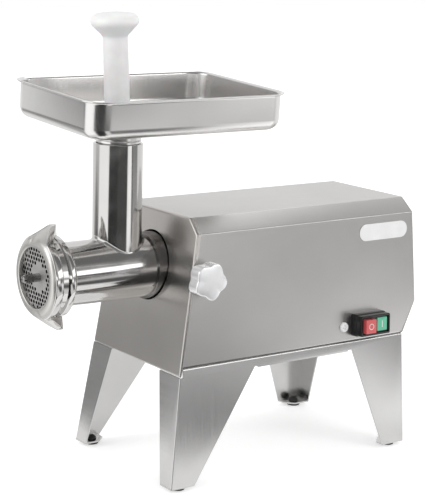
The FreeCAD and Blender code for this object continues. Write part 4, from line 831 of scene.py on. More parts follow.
@dataclass
class Housing:
    """Folded cover, front and rear panels, badge, side screws and cable gland."""

    top: float = 316.5
    top_half: float = 69.0
    bend: float = 300.0
    bend_half: float = 88.8
    seam: float = 145.5
    seam_half: float = 96.5
    front_top: float = -77.0
    front_seam: float = -103.3
    panel_drop: float = 11.0
    panel_thick: float = 2.0
    panel_foot: float = 2.0
    panel_steps: int = 8
    least_corner: float = 0.4
    rim: float = 2.6
    rim_margin: float = 0.4
    rim_fold: float = 15.0
    flange: float = 4.0
    bend_radius: float = 1.6
    bend_angles: Flat = (25.0, 70.0)
    long_bend: float = 150.0
    sheet: float = 1.5
    sheet_edge: float = 3.0
    seam_gap: float = 1.8
    front_zone: float = 1.0
    hair: float = 0.02
    hub_hole: float = 41.6
    hole_chamfer: float = 0.4
    hole_steps: int = 72
    axis: float = 249.5
    screw_y: float = 141.0
    screw_z: float = 164.0
    screw_head: float = 6.3
    screw_high: float = 3.0
    screw_steps: int = 32
    cross_arm: float = 3.7
    cross_half: float = 1.15
    cross_depth: float = 1.6
    cross_taper: float = 0.8

    def front_at(self, height: float) -> float:
        """Give the front face's place at a height."""
        share = (self.top - height) / (self.top - self.seam)
        return self.front_top + (self.front_seam - self.front_top) * share

    def flange_at(self, height: float) -> float:
        """Give how far the panel's folded rim runs back behind its sheet at a height."""
        low = self.seam - self.panel_drop
        return self.flange * min(1.0, (height - low) / (self.bend - low))

    def side_at(self, height: float) -> float:
        """Give the half width of the side at a height."""
        share = (self.bend - height) / (self.bend - self.seam)
        return self.bend_half + (self.seam_half - self.bend_half) * share

    def side_normal(self, sign: float) -> Vector:
        """Give the outward direction of a side."""
        rise = (self.seam_half - self.bend_half) / (self.bend - self.seam)
        return Vector((sign, 0.0, rise)).normalized()

    def is_bend(self, edge: Edge, outer: bool) -> bool:
        """Tell whether an edge is a long bend on the outside or the inside of the sheet."""
        level = edge.calc_length() >= self.long_bend and runs_along(edge, 0.98)
        return level and is_bent(edge, *self.bend_angles) and edge.is_convex == outer

    def is_corner(self, edge: Edge) -> bool:
        """Tell whether an edge runs through the sheet at a corner of the outline."""
        through = edge.calc_length() < self.sheet_edge and runs_along(edge, 0.9)
        return through and is_bent(edge, *self.bend_angles)

    def cover(self) -> Piece:
        """Build the cover with its bends rounded.

        Returns:
            The cover.
        """
        bm = traced("housing_cover")
        round_edges(bm, self.bend_radius, lambda edge: self.is_bend(edge, True))
        round_edges(bm, self.bend_radius - self.sheet, lambda edge: self.is_bend(edge, False))
        for vert in bm.verts:
            if vert.co.z < self.seam + self.hair:
                vert.co.z += self.seam_gap
            if vert.co.y < self.front_at(vert.co.z) + self.panel_thick + self.front_zone:
                vert.co.y += self.flange_at(vert.co.z) + self.hair
        return soften(finished(bm, "brushed_cover", outward=False), 0.12, 50.0)

    def panel_outline(self, inset: float) -> list[Flat]:
        """Give the front panel's outline, drawn in by a distance.

        Args:
            inset: The distance.

        Returns:
            The points of the outline.
        """
        low = self.seam - self.panel_drop
        half = [(self.side_at(low), low, self.panel_foot), (self.bend_half, self.bend, self.bend_radius),
                (self.top_half, self.top, self.bend_radius)]
        corners = half + [(-x, z, radius) for x, z, radius in reversed(half)]
        drawn = []
        for index, (x, z, radius) in enumerate(corners):
            here = Vector((x, z))
            before = (here - Vector(corners[index - 1][:2])).normalized()
            after = (Vector(corners[(index + 1) % len(corners)][:2]) - here).normalized()
            inward = (Vector((-before.y, before.x)) + Vector((-after.y, after.x))).normalized()
            shift = inset / inward.dot(Vector((-before.y, before.x)))
            moved = here + inward * shift
            drawn.append((moved.x, moved.y, max(radius - inset, self.least_corner)))
        return rounded(drawn, self.panel_steps)

    def front_panel(self) -> Piece:
        """Build the sloping front panel with its rounded rim and the hub hole.

        Returns:
            The panel.
        """
        bm = bmesh.new()
        thick = self.panel_thick
        folds = [math.radians(self.rim_fold * step) for step in range(7)]
        face = [(self.rim + self.rim_margin, 0.0, 0.0)]
        rim = [(self.rim * (1 - math.sin(fold)), self.rim * (1 - math.cos(fold)), 0.0) for fold in folds]
        back = [(0.0, thick, 1.0), (self.sheet, thick, 1.0), (self.rim, thick, 0.0)]
        rows = skin(bm, [[(x, self.front_at(z) + min(depth, thick + self.flange_at(z))
                           + run * self.flange_at(z), z) for x, z in self.panel_outline(inset)]
                         for inset, depth, run in face + rim + back])
        bore, wide = (circle(self.hub_hole + chamfer, self.hole_steps, (0.0, self.axis))
                      for chamfer in (0.0, self.hole_chamfer))
        hole = skin(bm, [[(x, self.front_at(z) + depth, z) for x, z in points]
                         for points, depth in ((wide, 0.0), (bore, self.hole_chamfer), (bore, thick))])
        for end in (0, -1):
            fill(bm, rows[end], hole[end], even=True)
        return finished(bm, "brushed_front_panel", sharp=40.0)

    def rear_panel(self) -> Piece:
        """Build the rear panel with the cover's rounded corners.

        Returns:
            The panel.
        """
        bm = traced("rear_panel")
        round_edges(bm, self.bend_radius, self.is_corner)
        return soften(finished(bm, "brushed_rear_panel", outward=False), 0.5, 50.0)

    def screw(self) -> Piece:
        """Draw a pan-head screw with a cross recess, facing +Z.

        Returns:
            The screw's head.
        """
        bm = bmesh.new()
        dome = [(self.screw_head, 0.0), (self.screw_head, 1.2), (6.0, 2.0), (5.4, 2.6),
                (4.5, self.screw_high)]
        rows = turned(bm, dome, self.screw_steps)
        arm, half = self.cross_arm, self.cross_half
        quarter, cross = [(arm, -half), (arm, half), (half, half)], []
        for _ in range(4):
            cross += quarter
            quarter = [(-y, x) for x, y in quarter]
        slot = skin(bm, [[(share * x, share * y, self.screw_high - depth) for x, y in cross]
                         for share, depth in ((1.0, 0.0), (self.cross_taper, self.cross_depth))])
        fill(bm, rows[-1], slot[0])
        bm.faces.new(slot[1])
        bm.faces.new(list(reversed(rows[0])))
        return finished(bm, "screw_head")

    def build(self, scatter: Scatter) -> None:
        """Build and dress the housing.

        Args:
            scatter: Tree that sets out the screws.
        """
        settle(self.cover(), "machine", "stainless_sheet", ["housing_cover"], COVER_STEEL)
        settle(self.front_panel(), "machine", "stainless_sheet", ["front_panel"], PANEL_STEEL)
        settle(self.rear_panel(), "machine", "stainless_sheet", ["rear_panel"], PANEL_STEEL)
        places = [((sign * self.side_at(self.screw_z), self.screw_y, self.screw_z), self.side_normal(sign))
                  for sign in (1.0, -1.0)]
        screws = scatter.set_out("pan_head_screws", self.screw(), places, WHITE_ENAMEL)
        settle(screws, "machine", "fastener", ["cover_screws"], WHITE_ENAMEL)
        badge = softened("badge_plate", "blank_badge", 0.25)
        settle(badge, "machine", "white_plastic", ["badge_plate"], WHITE_ENAMEL)
        gland = softened("cable_gland", "ribbed_gland", 0.4)
        settle(gland, "machine", "black_plastic", ["cable_gland"], BLACK_PLASTIC)
        dress(LEG_STEEL, "base_plate")


@dataclass
class Stand:
    """Two leg frames folded from sheet, on four rubber feet."""

    edge: float = 0.4
    fold: float = 1.6
    rail_fold: float = 3.2
    fold_angles: Flat = (60.0, 120.0)
    long_fold: float = 60.0
    broad: float = 700.0
    sole: float = 0.7
    near: float = 0.1
    rail_low: float = 134.0
    rear_end: float = 230.0
    flange_top: float = 142.5
    lean: float = 0.095

    def is_fold(self, edge: Edge, level: bool) -> bool:
        """Tell whether two broad faces of the sheet meet at an outer edge.

        Args:
            edge: The edge.
            level: Whether the fold runs along the rail, and not up a leg.

        Returns:
            Whether the edge is such a fold.
        """
        outer = edge.is_convex and is_bent(edge, *self.fold_angles)
        long = edge.calc_length() > self.long_fold and runs_along(edge, 0.9) == level
        return outer and long and all(face.calc_area() > self.broad for face in edge.link_faces)

    def legs(self, side: str) -> Piece:
        """Build one side's frame with its folds rounded and its rear flange brought up to the deck.

        Args:
            side: Left or right.

        Returns:
            The frame.
        """
        bm = traced(side + "_leg_frame")
        rise = self.flange_top - self.rail_low
        for vert in bm.verts:
            if abs(vert.co.z - self.rail_low) < self.near and vert.co.y > self.rear_end:
                vert.co.x -= math.copysign(rise * self.lean, vert.co.x)
                vert.co.z = self.flange_top
        round_edges(bm, self.rail_fold, lambda edge: self.is_fold(edge, True))
        round_edges(bm, self.fold, lambda edge: self.is_fold(edge, False))
        return soften(finished(bm, side + "_brushed_legs", outward=False), self.edge)

    def foot(self, node: str) -> Piece:
        """Build a foot whose sole is drawn in.

        Args:
            node: Node of the foot.

        Returns:
            The foot.
        """
        bm = traced(node)
        low = [vert for vert in bm.verts if vert.co.z < self.near]
        middle = sum((vert.co for vert in low), Vector()) / len(low)
        for vert in low:
            vert.co.xy = middle.xy + (vert.co.xy - middle.xy) * self.sole
        return soften(finished(bm, node + "_pad", outward=False), 0.6, 40.0)

    def build(self) -> None:
        """Build and dress the stand."""
        for side in ("left", "right"):
            settle(self.legs(side), "machine", "stainless_sheet", [side + "_leg_frame"], LEG_STEEL)
            for end in ("front", "rear"):
                node = f"foot_{end}_{side}"
                settle(self.foot(node), "machine", "rubber", [node], RUBBER)


@dataclass
class Switch:
    """Two-button switch: black housing, red stop button and green start button with their marks."""

    middle_y: float = 177.7
    middle_z: float = 165.5
    spacing: float = 23.0
    length: float = 48.5
    height: float = 27.0
    corner: float = 2.8
    least_corner: float = 0.5
    frame_top: float = 16.0
    hole_width: float = 17.2
    hole_height: float = 18.1
    hole_corner: float = 1.2
    hole_floor: float = 1.0
    stop_out: float = 24.0
    start_out: float = 17.5
    ring_radius: float = 3.9
    ring_width: float = 0.8
    bar_length: float = 8.5
    bar_width: float = 1.2
    bar_corner: float = 0.4
    sunk: float = 0.05
    proud: float = 0.12
    steps_out: tuple[Flat, ...] = ((-0.6, 0.0), (-0.6, 8.0), (-0.3, 9.0), (0.4, 9.6), (0.6, 10.0),
                                   (0.6, 10.4), (0.6, 17.6), (0.9, 18.5), (1.6, 19.0), (2.6, 19.0),
                                   (3.0, 18.8), (3.2, 18.2))

    def on_side(self, housing: Housing) -> Matrix:
        """Give the frame of the switch: x out of the side, y along the machine, z up the side.

        Args:
            housing: Housing that carries the switch.

        Returns:
            The frame.
        """
        out = housing.side_normal(1.0)
        along = Vector((0.0, 1.0, 0.0))
        turn = Matrix((out, along, out.cross(along))).transposed().to_4x4()
        place = Vector((housing.side_at(self.middle_z), self.middle_y, self.middle_z))
        return Matrix.Translation(place) @ turn

    def case_outline(self, inset: float) -> list[Flat]:
        """Give the case's outline, drawn in by a distance."""
        corner = max(self.corner - inset, self.least_corner)
        return rounded_box(self.length - 2 * inset, self.height - 2 * inset, corner, 5)

    def case(self, place: Matrix) -> Piece:
        """Build the case: a wide base, a stepped frame and the recess with its two button holes.

        Args:
            place: Frame of the switch on the side.

        Returns:
            The case.
        """
        bm = bmesh.new()
        steps = self.steps_out + ((self.steps_out[-1][0], self.frame_top),)
        rows = skin(bm, [[(height, x, z) for x, z in self.case_outline(inset)] for inset, height in steps])
        outline = rounded_box(self.hole_width, self.hole_height, self.hole_corner, 4)
        holes = [skin(bm, [[(height, x + side * self.spacing / 2, z) for x, z in outline]
                           for height in (self.frame_top, self.hole_floor)])[0] for side in (-1, 1)]
        fill(bm, rows[-1], *holes)
        return finished(bm, "switch_case", place, sharp=28.0)

    def ring_mark(self) -> Mesh:
        """Draw the ring on the stop button.

        Returns:
            The drawn mesh, in the frame of the switch.
        """
        bm = bmesh.new()
        inner, outer = self.ring_radius - self.ring_width, self.ring_radius
        rows = [(outer, 0.0), (outer, self.proud), (inner, self.proud), (inner, 0.0), (outer, 0.0)]
        low = self.stop_out - self.sunk
        skin(bm, [[(low + z, y - self.spacing / 2, x) for x, y in circle(r, 48)] for r, z in rows])
        bmesh.ops.remove_doubles(bm, verts=bm.verts, dist=MERGE)
        return bm

    def bar_mark(self) -> Mesh:
        """Draw the bar on the start button.

        Returns:
            The drawn mesh, in the frame of the switch.
        """
        bm = bmesh.new()
        outline = rounded_box(self.bar_width, self.bar_length, self.bar_corner, 3)
        low = self.start_out - self.sunk
        rows = skin(bm, [[(low + z, x + self.spacing / 2, y) for x, y in outline]
                         for z in (0.0, self.proud)])
        for row in rows:
            bm.faces.new(row)
        return bm

    def build(self, housing: Housing) -> None:
        """Build and dress the switch.

        Args:
            housing: Housing that carries it.
        """
        place = self.on_side(housing)
        settle(self.case(place), "machine", "black_plastic", ["switch_housing"], BLACK_PLASTIC)
        for label, slot, finish, mark in (("stop", "red_plastic", RED_PLASTIC, self.ring_mark()),
                                          ("start", "green_plastic", GREEN_PLASTIC, self.bar_mark())):
            node = label + "_button"
            settle(softened(node, label + "_key", 0.9, segments=3), node, slot, [node], finish)
            settle(finished(mark, label + "_mark", place), node, "white_plastic", [], MARK_INK)


@dataclass
class Clamp:
    """Star knob on its spindle, with the hub that takes the grinder head."""

    edge: float = 0.5
    middle_y: float = -76.8
    middle_z: float = 249.5
    lobes: int = 5
    turn: float = 63.0
    reach: float = 22.2
    valley: float = 18.4
    fullness: float = 0.8
    back: float = 99.3
    front: float = 117.3
    crown: float = 0.9
    boss: float = 10.0
    boss_back: float = 93.2
    boss_front: float = 99.8
    steps: int = 180

    def ring(self, radii: Sequence[float], out: float) -> list[Point]:
        """Give a loop about the knob's axis.

        Args:
            radii: Radius at each angle.
            out: Place along the axis.

        Returns:
            The points of the loop.
        """
        angles = [2 * math.pi * step / self.steps for step in range(self.steps)]
        return [(out, self.middle_y + radius * math.cos(angle), self.middle_z + radius * math.sin(angle))
                for radius, angle in zip(radii, angles)]

    def outline(self) -> list[float]:
        """Give the lobed outline.

        Returns:
            Its radius at each angle.
        """
        angles = [2 * math.pi * step / self.steps - math.radians(self.turn) for step in range(self.steps)]
        waves = [((1 + math.cos(self.lobes * angle)) / 2) ** self.fullness for angle in angles]
        return [self.valley + (self.reach - self.valley) * wave for wave in waves]

    def knob(self) -> Piece:
        """Build the knob: a lobed outline with crisp rims, a faintly domed front and a boss behind.

        Returns:
            The knob.
        """
        bm = bmesh.new()
        outline, back, rim = self.outline(), self.back, self.front - self.crown
        sides = [(3.0, 1.0, back), (1.3, 1.0, back), (0.35, 1.0, back + 0.4), (0.0, 1.0, back + 1.3),
                 (0.0, 1.0, back + 2.2), (0.0, 1.0, rim - 1.9), (0.0, 1.0, rim - 1.1), (0.3, 1.0, rim - 0.35),
                 (1.0, 1.0, rim), (1.7, 1.0, rim + 0.12), (1.7, 0.8, rim + 0.5), (1.7, 0.5, rim + 0.8),
                 (1.7, 0.2, self.front)]
        rows = skin(bm, [self.ring([(radius - inset) * share for radius in outline], out)
                         for inset, share, out in sides])
        stem = skin(bm, [self.ring([self.boss] * self.steps, out)
                         for out in (self.boss_back, self.boss_front)])
        for row in (rows[0], rows[-1], stem[0], stem[1]):
            bm.faces.new(row)
        return finished(bm, "star_knob", sharp=60.0)

    def build(self) -> None:
        """Build and dress the clamp and the hub."""
        settle(self.knob(), "knob", "white_plastic", ["clamp_knob"], KNOB_LACQUER)
        hub = softened("hub_socket", "turned_hub", self.edge)
        settle(hub, "machine", "cast_aluminium", ["hub_socket"], HUB_STEEL)
        dress(SHAFT_STEEL, "clamp_spindle", "clamp_pad")


@dataclass
class GrinderHead:
    """Polished head with its auger, knife and plate, closed by the ring nut."""

    axis: float = 249.5
    ear_turn: float = 8.5
    ear_half: float = 3.5
    ear_steep: float = 12.0
    ear_end: float = 40.0
    ear_crown: float = 0.05
    ear_sweep: float = 1.8
    upper_ear: float = 59.5
    lower_ear: float = 63.5
    ring_radius: float = 46.6
    ring_swell: float = 2.6
    waist: float = 46.2
    flange: float = 9.5
    rim_radius: float = 48.3
    rim_length: float = 7.5
    edge_front: float = -240.4
    tip_front: float = -218.2
    rear: float = -215.7
    tip_rear: float = -211.2
    opening: float = 35.5
    face: float = -244.2
    face_radius: float = 39.6
    ramp_radius: float = 42.0
    ramp_drop: float = 0.5
    bore: float = 44.6
    seat: float = -237.3
    satin_rows: int = 9
    nut_steps: int = 288
    plate_front: float = -237.2
    plate_radius: float = 41.0
    plate_rim: float = 5.0
    plain: float = 14.5
    hole: float = 2.2
    pitch: float = 5.9

    def ear_share(self, angle: float) -> float:
        """Tell how far the outline has grown from the ring to an ear.

        Args:
            angle: Angle from the ear's tip in degrees.

        Returns:
            The share, from 0 on the ring to 1 at the tip.
        """
        end = self.ear_steep if angle < 0 else self.ear_end
        left = 1.0 - max(abs(angle) - self.ear_half, 0.0) / (end - self.ear_half)
        crown = 1.0 - self.ear_crown * min(1.0, abs(angle) / self.ear_half) ** 3
        return crown * max(left, 0.0) ** self.ear_sweep

    def nut_profile(self, angle: float, ear_reach: float) -> list[Flat]:
        """Give the nut's section at an angle from the nearer ear.

        Args:
            angle: Angle from the ear's tip in degrees.
            ear_reach: Radius at that ear's tip.

        Returns:
            Radius and place along the axis, from the opening over the front to the bore.
        """
        share = self.ear_share(angle)
        ring = self.ring_radius + self.ring_swell * math.cos(math.radians(angle)) ** 2
        reach = ring + (ear_reach - ring) * share
        front = self.edge_front + (self.tip_front - self.edge_front) * share ** 0.85
        end = front + self.flange - (self.flange - self.tip_rear + self.tip_front) * share
        waist = self.waist + (self.rim_radius - self.waist) * min(1.0, 2 * share)
        rear = max(self.rear, end)
        rim = min(max(self.rear - self.rim_length, end + 1.2), rear)
        start, drop, wide = self.ramp_radius, self.face + self.ramp_drop, self.rim_radius
        lip = [(self.opening, self.face + 1.0), (self.opening + 0.3, self.face + 0.35),
               (self.opening + 1.0, self.face)]
        hollow = [(self.face_radius, self.face), (start - 0.6 * share, drop + 1.4 * share)]
        ramp = [(start + (reach - 0.9 - start) * t, drop + (front - drop) * (t ** (1.9 - 0.8 * share)))
                for t in (0.25, 0.5, 0.75, 0.94, 1.0)]
        edge = [(reach - 0.5, front + 0.1), (reach - 0.15, front + 0.42), (reach, front + 0.95)]
        wall = [(reach, front + 0.35 * self.flange), (reach, end - 0.9), (reach - 0.3, end - 0.3),
                (reach - 1.0, end)]
        neck = [(max(waist, min(waist + 0.8, reach - 1.2)), min(end + 0.3, rear)),
                (waist, min(end + 1.0, rear)), (waist, rim)]
        back = [(wide - 0.2, rim), (wide, min(rim + 0.4, rear)), (wide, max(rim, rear - 0.8)),
                (wide - 0.3, max(rim, rear - 0.2)), (wide - 1.0, rear), (self.bore, rear),
                (self.bore, self.rear - 1.0)]
        return lip + hollow + ramp + edge + wall + neck + back

    def ring_nut(self) -> Piece:
        """Build the ring nut: a section that grows from the plain ring into each swept ear.

        Returns:
            The nut.
        """
        bm = bmesh.new()
        inside = [(self.bore, self.seat), (self.opening, self.seat), (self.opening, self.face + 1.0)]
        columns = []
        for step in range(self.nut_steps):
            angle = 360.0 * step / self.nut_steps
            tip = self.lower_ear if 90.0 < angle < 270.0 else self.upper_ear
            section = self.nut_profile((angle + 90.0) % 180.0 - 90.0, tip) + inside
            turn = math.radians(angle - self.ear_turn)
            columns.append([(r * math.sin(turn), y, self.axis + r * math.cos(turn)) for r, y in section])
        skin(bm, [list(row) for row in zip(*columns)])
        bm.faces.ensure_lookup_table()
        for face in bm.faces[self.satin_rows * self.nut_steps:]:
            face.material_index = 1
        bmesh.ops.remove_doubles(bm, verts=bm.verts, dist=MERGE)
        return finished(bm, "eared_ring_nut", sharp=50.0)

    def hole_places(self) -> list[tuple[Point, Point]]:
        """Give the places of the plate's holes on its front face.

        Returns:
            Each hole's place and the direction that it faces.
        """
        row_step = self.pitch * math.sqrt(0.75)
        reach = self.plate_radius - self.plate_rim
        rows = int(reach / row_step) + 1
        places = []
        for row in range(-rows, rows + 1):
            for column in range(-2 * rows, 2 * rows + 1):
                x, z = (column + row % 2 / 2) * self.pitch, row * row_step
                if self.plain + self.hole < math.hypot(x, z) < reach:
                    places.append(((x, self.plate_front, self.axis + z), (0.0, -1.0, 0.0)))
        return places

    def hole_rim(self) -> Piece:
        """Draw the worn rim of one hole, facing +Z.

        Returns:
            The rim.
        """
        bm = bmesh.new()
        profile = [(self.hole + wider, z)
                   for wider, z in ((-0.02, -0.6), (0.05, 0.04), (0.35, 0.03), (0.42, -0.1))]
        turned(bm, profile, 12)
        return finished(bm, "hole_rim")

    def build(self, scatter: Scatter) -> None:
        """Build and dress the head.

        Args:
            scatter: Tree that sets out the rims of the plate's holes.
        """
        casting = softened("grinder_head", "polished_casting", 0.5, 40.0, sharp=30.0)
        settle(casting, "head", "polished_steel", ["grinder_head"], HEAD_STEEL)
        settle(self.ring_nut(), "nut", "polished_steel", ["ring_nut"], NUT_SATIN, NUT_POLISH)
        # The plate and the rims of its holes wear painted shade, dark behind the plate's face.
        rims = scatter.set_out("plate_hole_rims", self.hole_rim(), self.hole_places(), PLATE_STEEL_PAINTED_SHADE)
        settle(rims, "plate", "tool_steel", [], PLATE_STEEL_PAINTED_SHADE)
        dress(PLATE_STEEL_PAINTED_SHADE, "grinding_plate")
        dress(TOOL_STEEL, "auger", "knife", "plate_key")
        dress(HUB_STEEL, "auger_stud")
        dress(BRONZE, "auger_bush")


@dataclass
class Tray:
    """Deep-drawn tray with a flared lip, on the collar that drops into the column."""

    width: float = 194.0
    length: float = 273.0
    middle: float = 42.2
    floor: float = 21.3
    height: float = 43.9
    lip: float = 4.4
    corner: float = 24.0
    corner_steps: int = 10
    bottom: float = 13.0
    sheet: float = 1.2
    flare: float = 3.4
    under: float = 2.8
    bore: float = 22.6
    collar: float = 26.9
    collar_steps: int = 72
    spigot: float = 24.2
    spigot_depth: float = 20.0
    shoulder: float = 1.75
    shoulder_edge: float = 0.4
    grooves: Flat = (2.6, 7.4)
    groove: tuple[Flat, ...] = ((0.0, 0.0), (0.5, 0.4), (0.8, 1.0), (0.5, 1.6), (0.0, 2.0))
    lean: float = 3.3
    column: Point = (0.0, -133.0, 399.2)

    def loop(self, inset: float, height: float) -> list[Point]:
        """Give the tray's outline at an inset from the lip and a height.

        Args:
            inset: The inset.
            height: The height.

        Returns:
            The points of the outline.
        """
        outline = rounded_box(self.width - 2 * inset, self.length - 2 * inset, self.corner + self.lip - inset,
                              self.corner_steps, self.middle)
        return [(x, y, height) for x, y in outline]

    def pan(self) -> Piece:
        """Build the pan: floor with the collar's hole, drawn walls and flared lip.

        Returns:
            The pan.
        """
        rim, turn = self.floor + self.height, self.floor + self.bottom
        low, wall, foot = rim - self.sheet, self.lip + self.sheet, self.lip + self.bottom
        inside = [(foot - x, z) for x, z in arc((0.0, turn), self.bottom - self.sheet, -90, 0, 8)]
        flare = [(wall - self.flare + x, z) for x, z in arc((0.0, rim - self.flare), self.flare, 0, 90, 5)]
        edge = [(0.25, rim), (0.0, rim - 0.3), (0.0, low + 0.3), (0.25, low)]
        below = [(self.lip - self.under + x, z)
                 for x, z in arc((0.0, low - self.under), self.under, 90, 0, 4)]
        outside = [(foot - x, z) for x, z in arc((0.0, turn), self.bottom, 0, -90, 8)]
        bm = bmesh.new()
        rows = skin(bm, [self.loop(inset, z) for inset, z in inside + flare + edge + below + outside])
        hole = turned(bm, [(self.bore, self.floor + self.sheet), (self.bore, self.floor)], 48)
        for end in (0, -1):
            fill(bm, rows[end], hole[end])
        return finished(bm, "drawn_tray", self.leaning(), sharp=45.0)

    def turned_collar(self) -> Piece:
        """Build the collar under the floor, with its two grooves and the spigot in the column.

        Returns:
            The collar.
        """
        low, high, out, edge = self.shoulder, self.floor, self.collar, self.shoulder_edge
        grooves = [(out - depth, low + start + along)
                   for start in self.grooves for depth, along in self.groove]
        profile = [(self.spigot, -self.spigot_depth), (self.spigot, low), (out - edge, low),
                   (out, low + edge), *grooves, (out, high), (self.bore, high),
                   (self.bore, -self.spigot_depth)]
        bm = bmesh.new()
        turned(bm, profile + profile[:1], self.collar_steps)
        bmesh.ops.remove_doubles(bm, verts=bm.verts, dist=MERGE)
        return finished(bm, "welded_collar", self.leaning(), sharp=35.0)

    def leaning(self) -> Matrix:
        """Give the tray's leaning frame on the column."""
        return Matrix.Translation(self.column) @ Matrix.Rotation(math.radians(self.lean), 4, "Y")

    def build(self) -> None:
        """Build and dress the tray."""
        settle(self.pan(), "tray", "stainless_sheet", ["tray_pan"], TRAY_STEEL)
        settle(self.turned_collar(), "tray", "stainless_sheet", ["tray_collar"], TRAY_STEEL)


@dataclass
class Plunger:
    """Milky plunger with a domed head, standing loosely in the column."""

    lean: float = 3.0
    pivot: Point = (0.0, -133.0, 407.0)
    steps: int = 64
    foot: tuple[Flat, ...] = ((12.2, -124.4), (13.8, -123.8), (14.7, -121.9))
    stem: tuple[Flat, ...] = ((14.7, -60.0), (14.7, 40.0), (14.7, 108.0), (14.75, 114.0), (15.6, 116.6),
                              (18.6, 119.9), (22.6, 123.9), (26.0, 127.4), (27.8, 130.2), (28.4, 133.2),
                              (27.8, 136.2), (25.8, 139.0), (22.4, 141.1), (17.0, 142.5), (9.0, 143.1))
    crown: float = 143.2

    def build(self) -> None:
        """Build and dress the plunger."""
        bm = bmesh.new()
        rows = turned(bm, [*self.foot, *smooth_curve(self.stem, 3)], self.steps)
        bm.faces.new(rows[0])
        crown = bm.verts.new((0.0, 0.0, self.crown))
        for index in range(self.steps):
            bm.faces.new((rows[-1][index - 1], rows[-1][index], crown))
        place = Matrix.Translation(self.pivot) @ Matrix.Rotation(math.radians(self.lean), 4, "X")
        piece = finished(bm, "milky_plunger", place, sharp=50.0)
        settle(piece, "plunger", "plunger_plastic", ["plunger"], PLUNGER_PLASTIC)


class Drive:
    """Motor, gears and wiring inside the housing, dressed as they are."""

    wear: ClassVar[tuple[tuple[Finish, tuple[str, ...]], ...]] = (
        (CAST_ALUMINIUM, ("gearbox_case", "gearbox_cover", "front_end_bell", "rear_end_bell", "motor_shell")),
        (SHAFT_STEEL, ("motor_shaft", "motor_pinion", "countershaft", "countershaft_gear",
                       "countershaft_pinion", "output_shaft", "output_gear", "motor_bearing_front",
                       "motor_bearing_rear", "countershaft_bearing_front", "countershaft_bearing_rear",
                       "output_bearing_front", "output_bearing_rear")),
        (BOLT_STEEL, ("gearbox_bolts",)),
        (LAMINATION, ("stator_core", "rotor_core")),
        (COPPER, ("front_winding", "rear_winding")),
        (RUBBER, ("shaft_seal",)),
        (BLACK_PLASTIC, ("contact_block", "motor_fan")),
        (GREY_PLASTIC, ("run_capacitor", "terminal_block")),
        (CRADLE_PAINT, ("motor_cradle",)))

    def build(self) -> None:
        """Dress the inner pieces."""
        for finish, nodes in self.wear:
            dress(finish, *nodes)


def direction(azimuth: float, elevation: float) -> Vector:
    """Give a direction from degrees, azimuth 0 in front and 90 on the right."""
    turn, rise = math.radians(azimuth), math.radians(elevation)
    return Vector((math.sin(turn) * math.cos(rise), -math.cos(turn) * math.cos(rise), math.sin(rise)))


@dataclass(frozen=True)
class Card:
    """A light or dark card around the object, given by its edges in degrees."""

    left: float
    right: float
    low: float
    high: float
    level: float
    feather: float = 4.0

    def share(self, azimuth: float, elevation: float) -> float:
        """Tell how much of the card shows in a direction, from 0 outside it to 1 inside its soft edge."""
        inside = min(azimuth - self.left, self.right - azimuth, elevation - self.low, self.high - elevation)
        return min(1.0, max(0.0, inside / self.feather + 0.5))


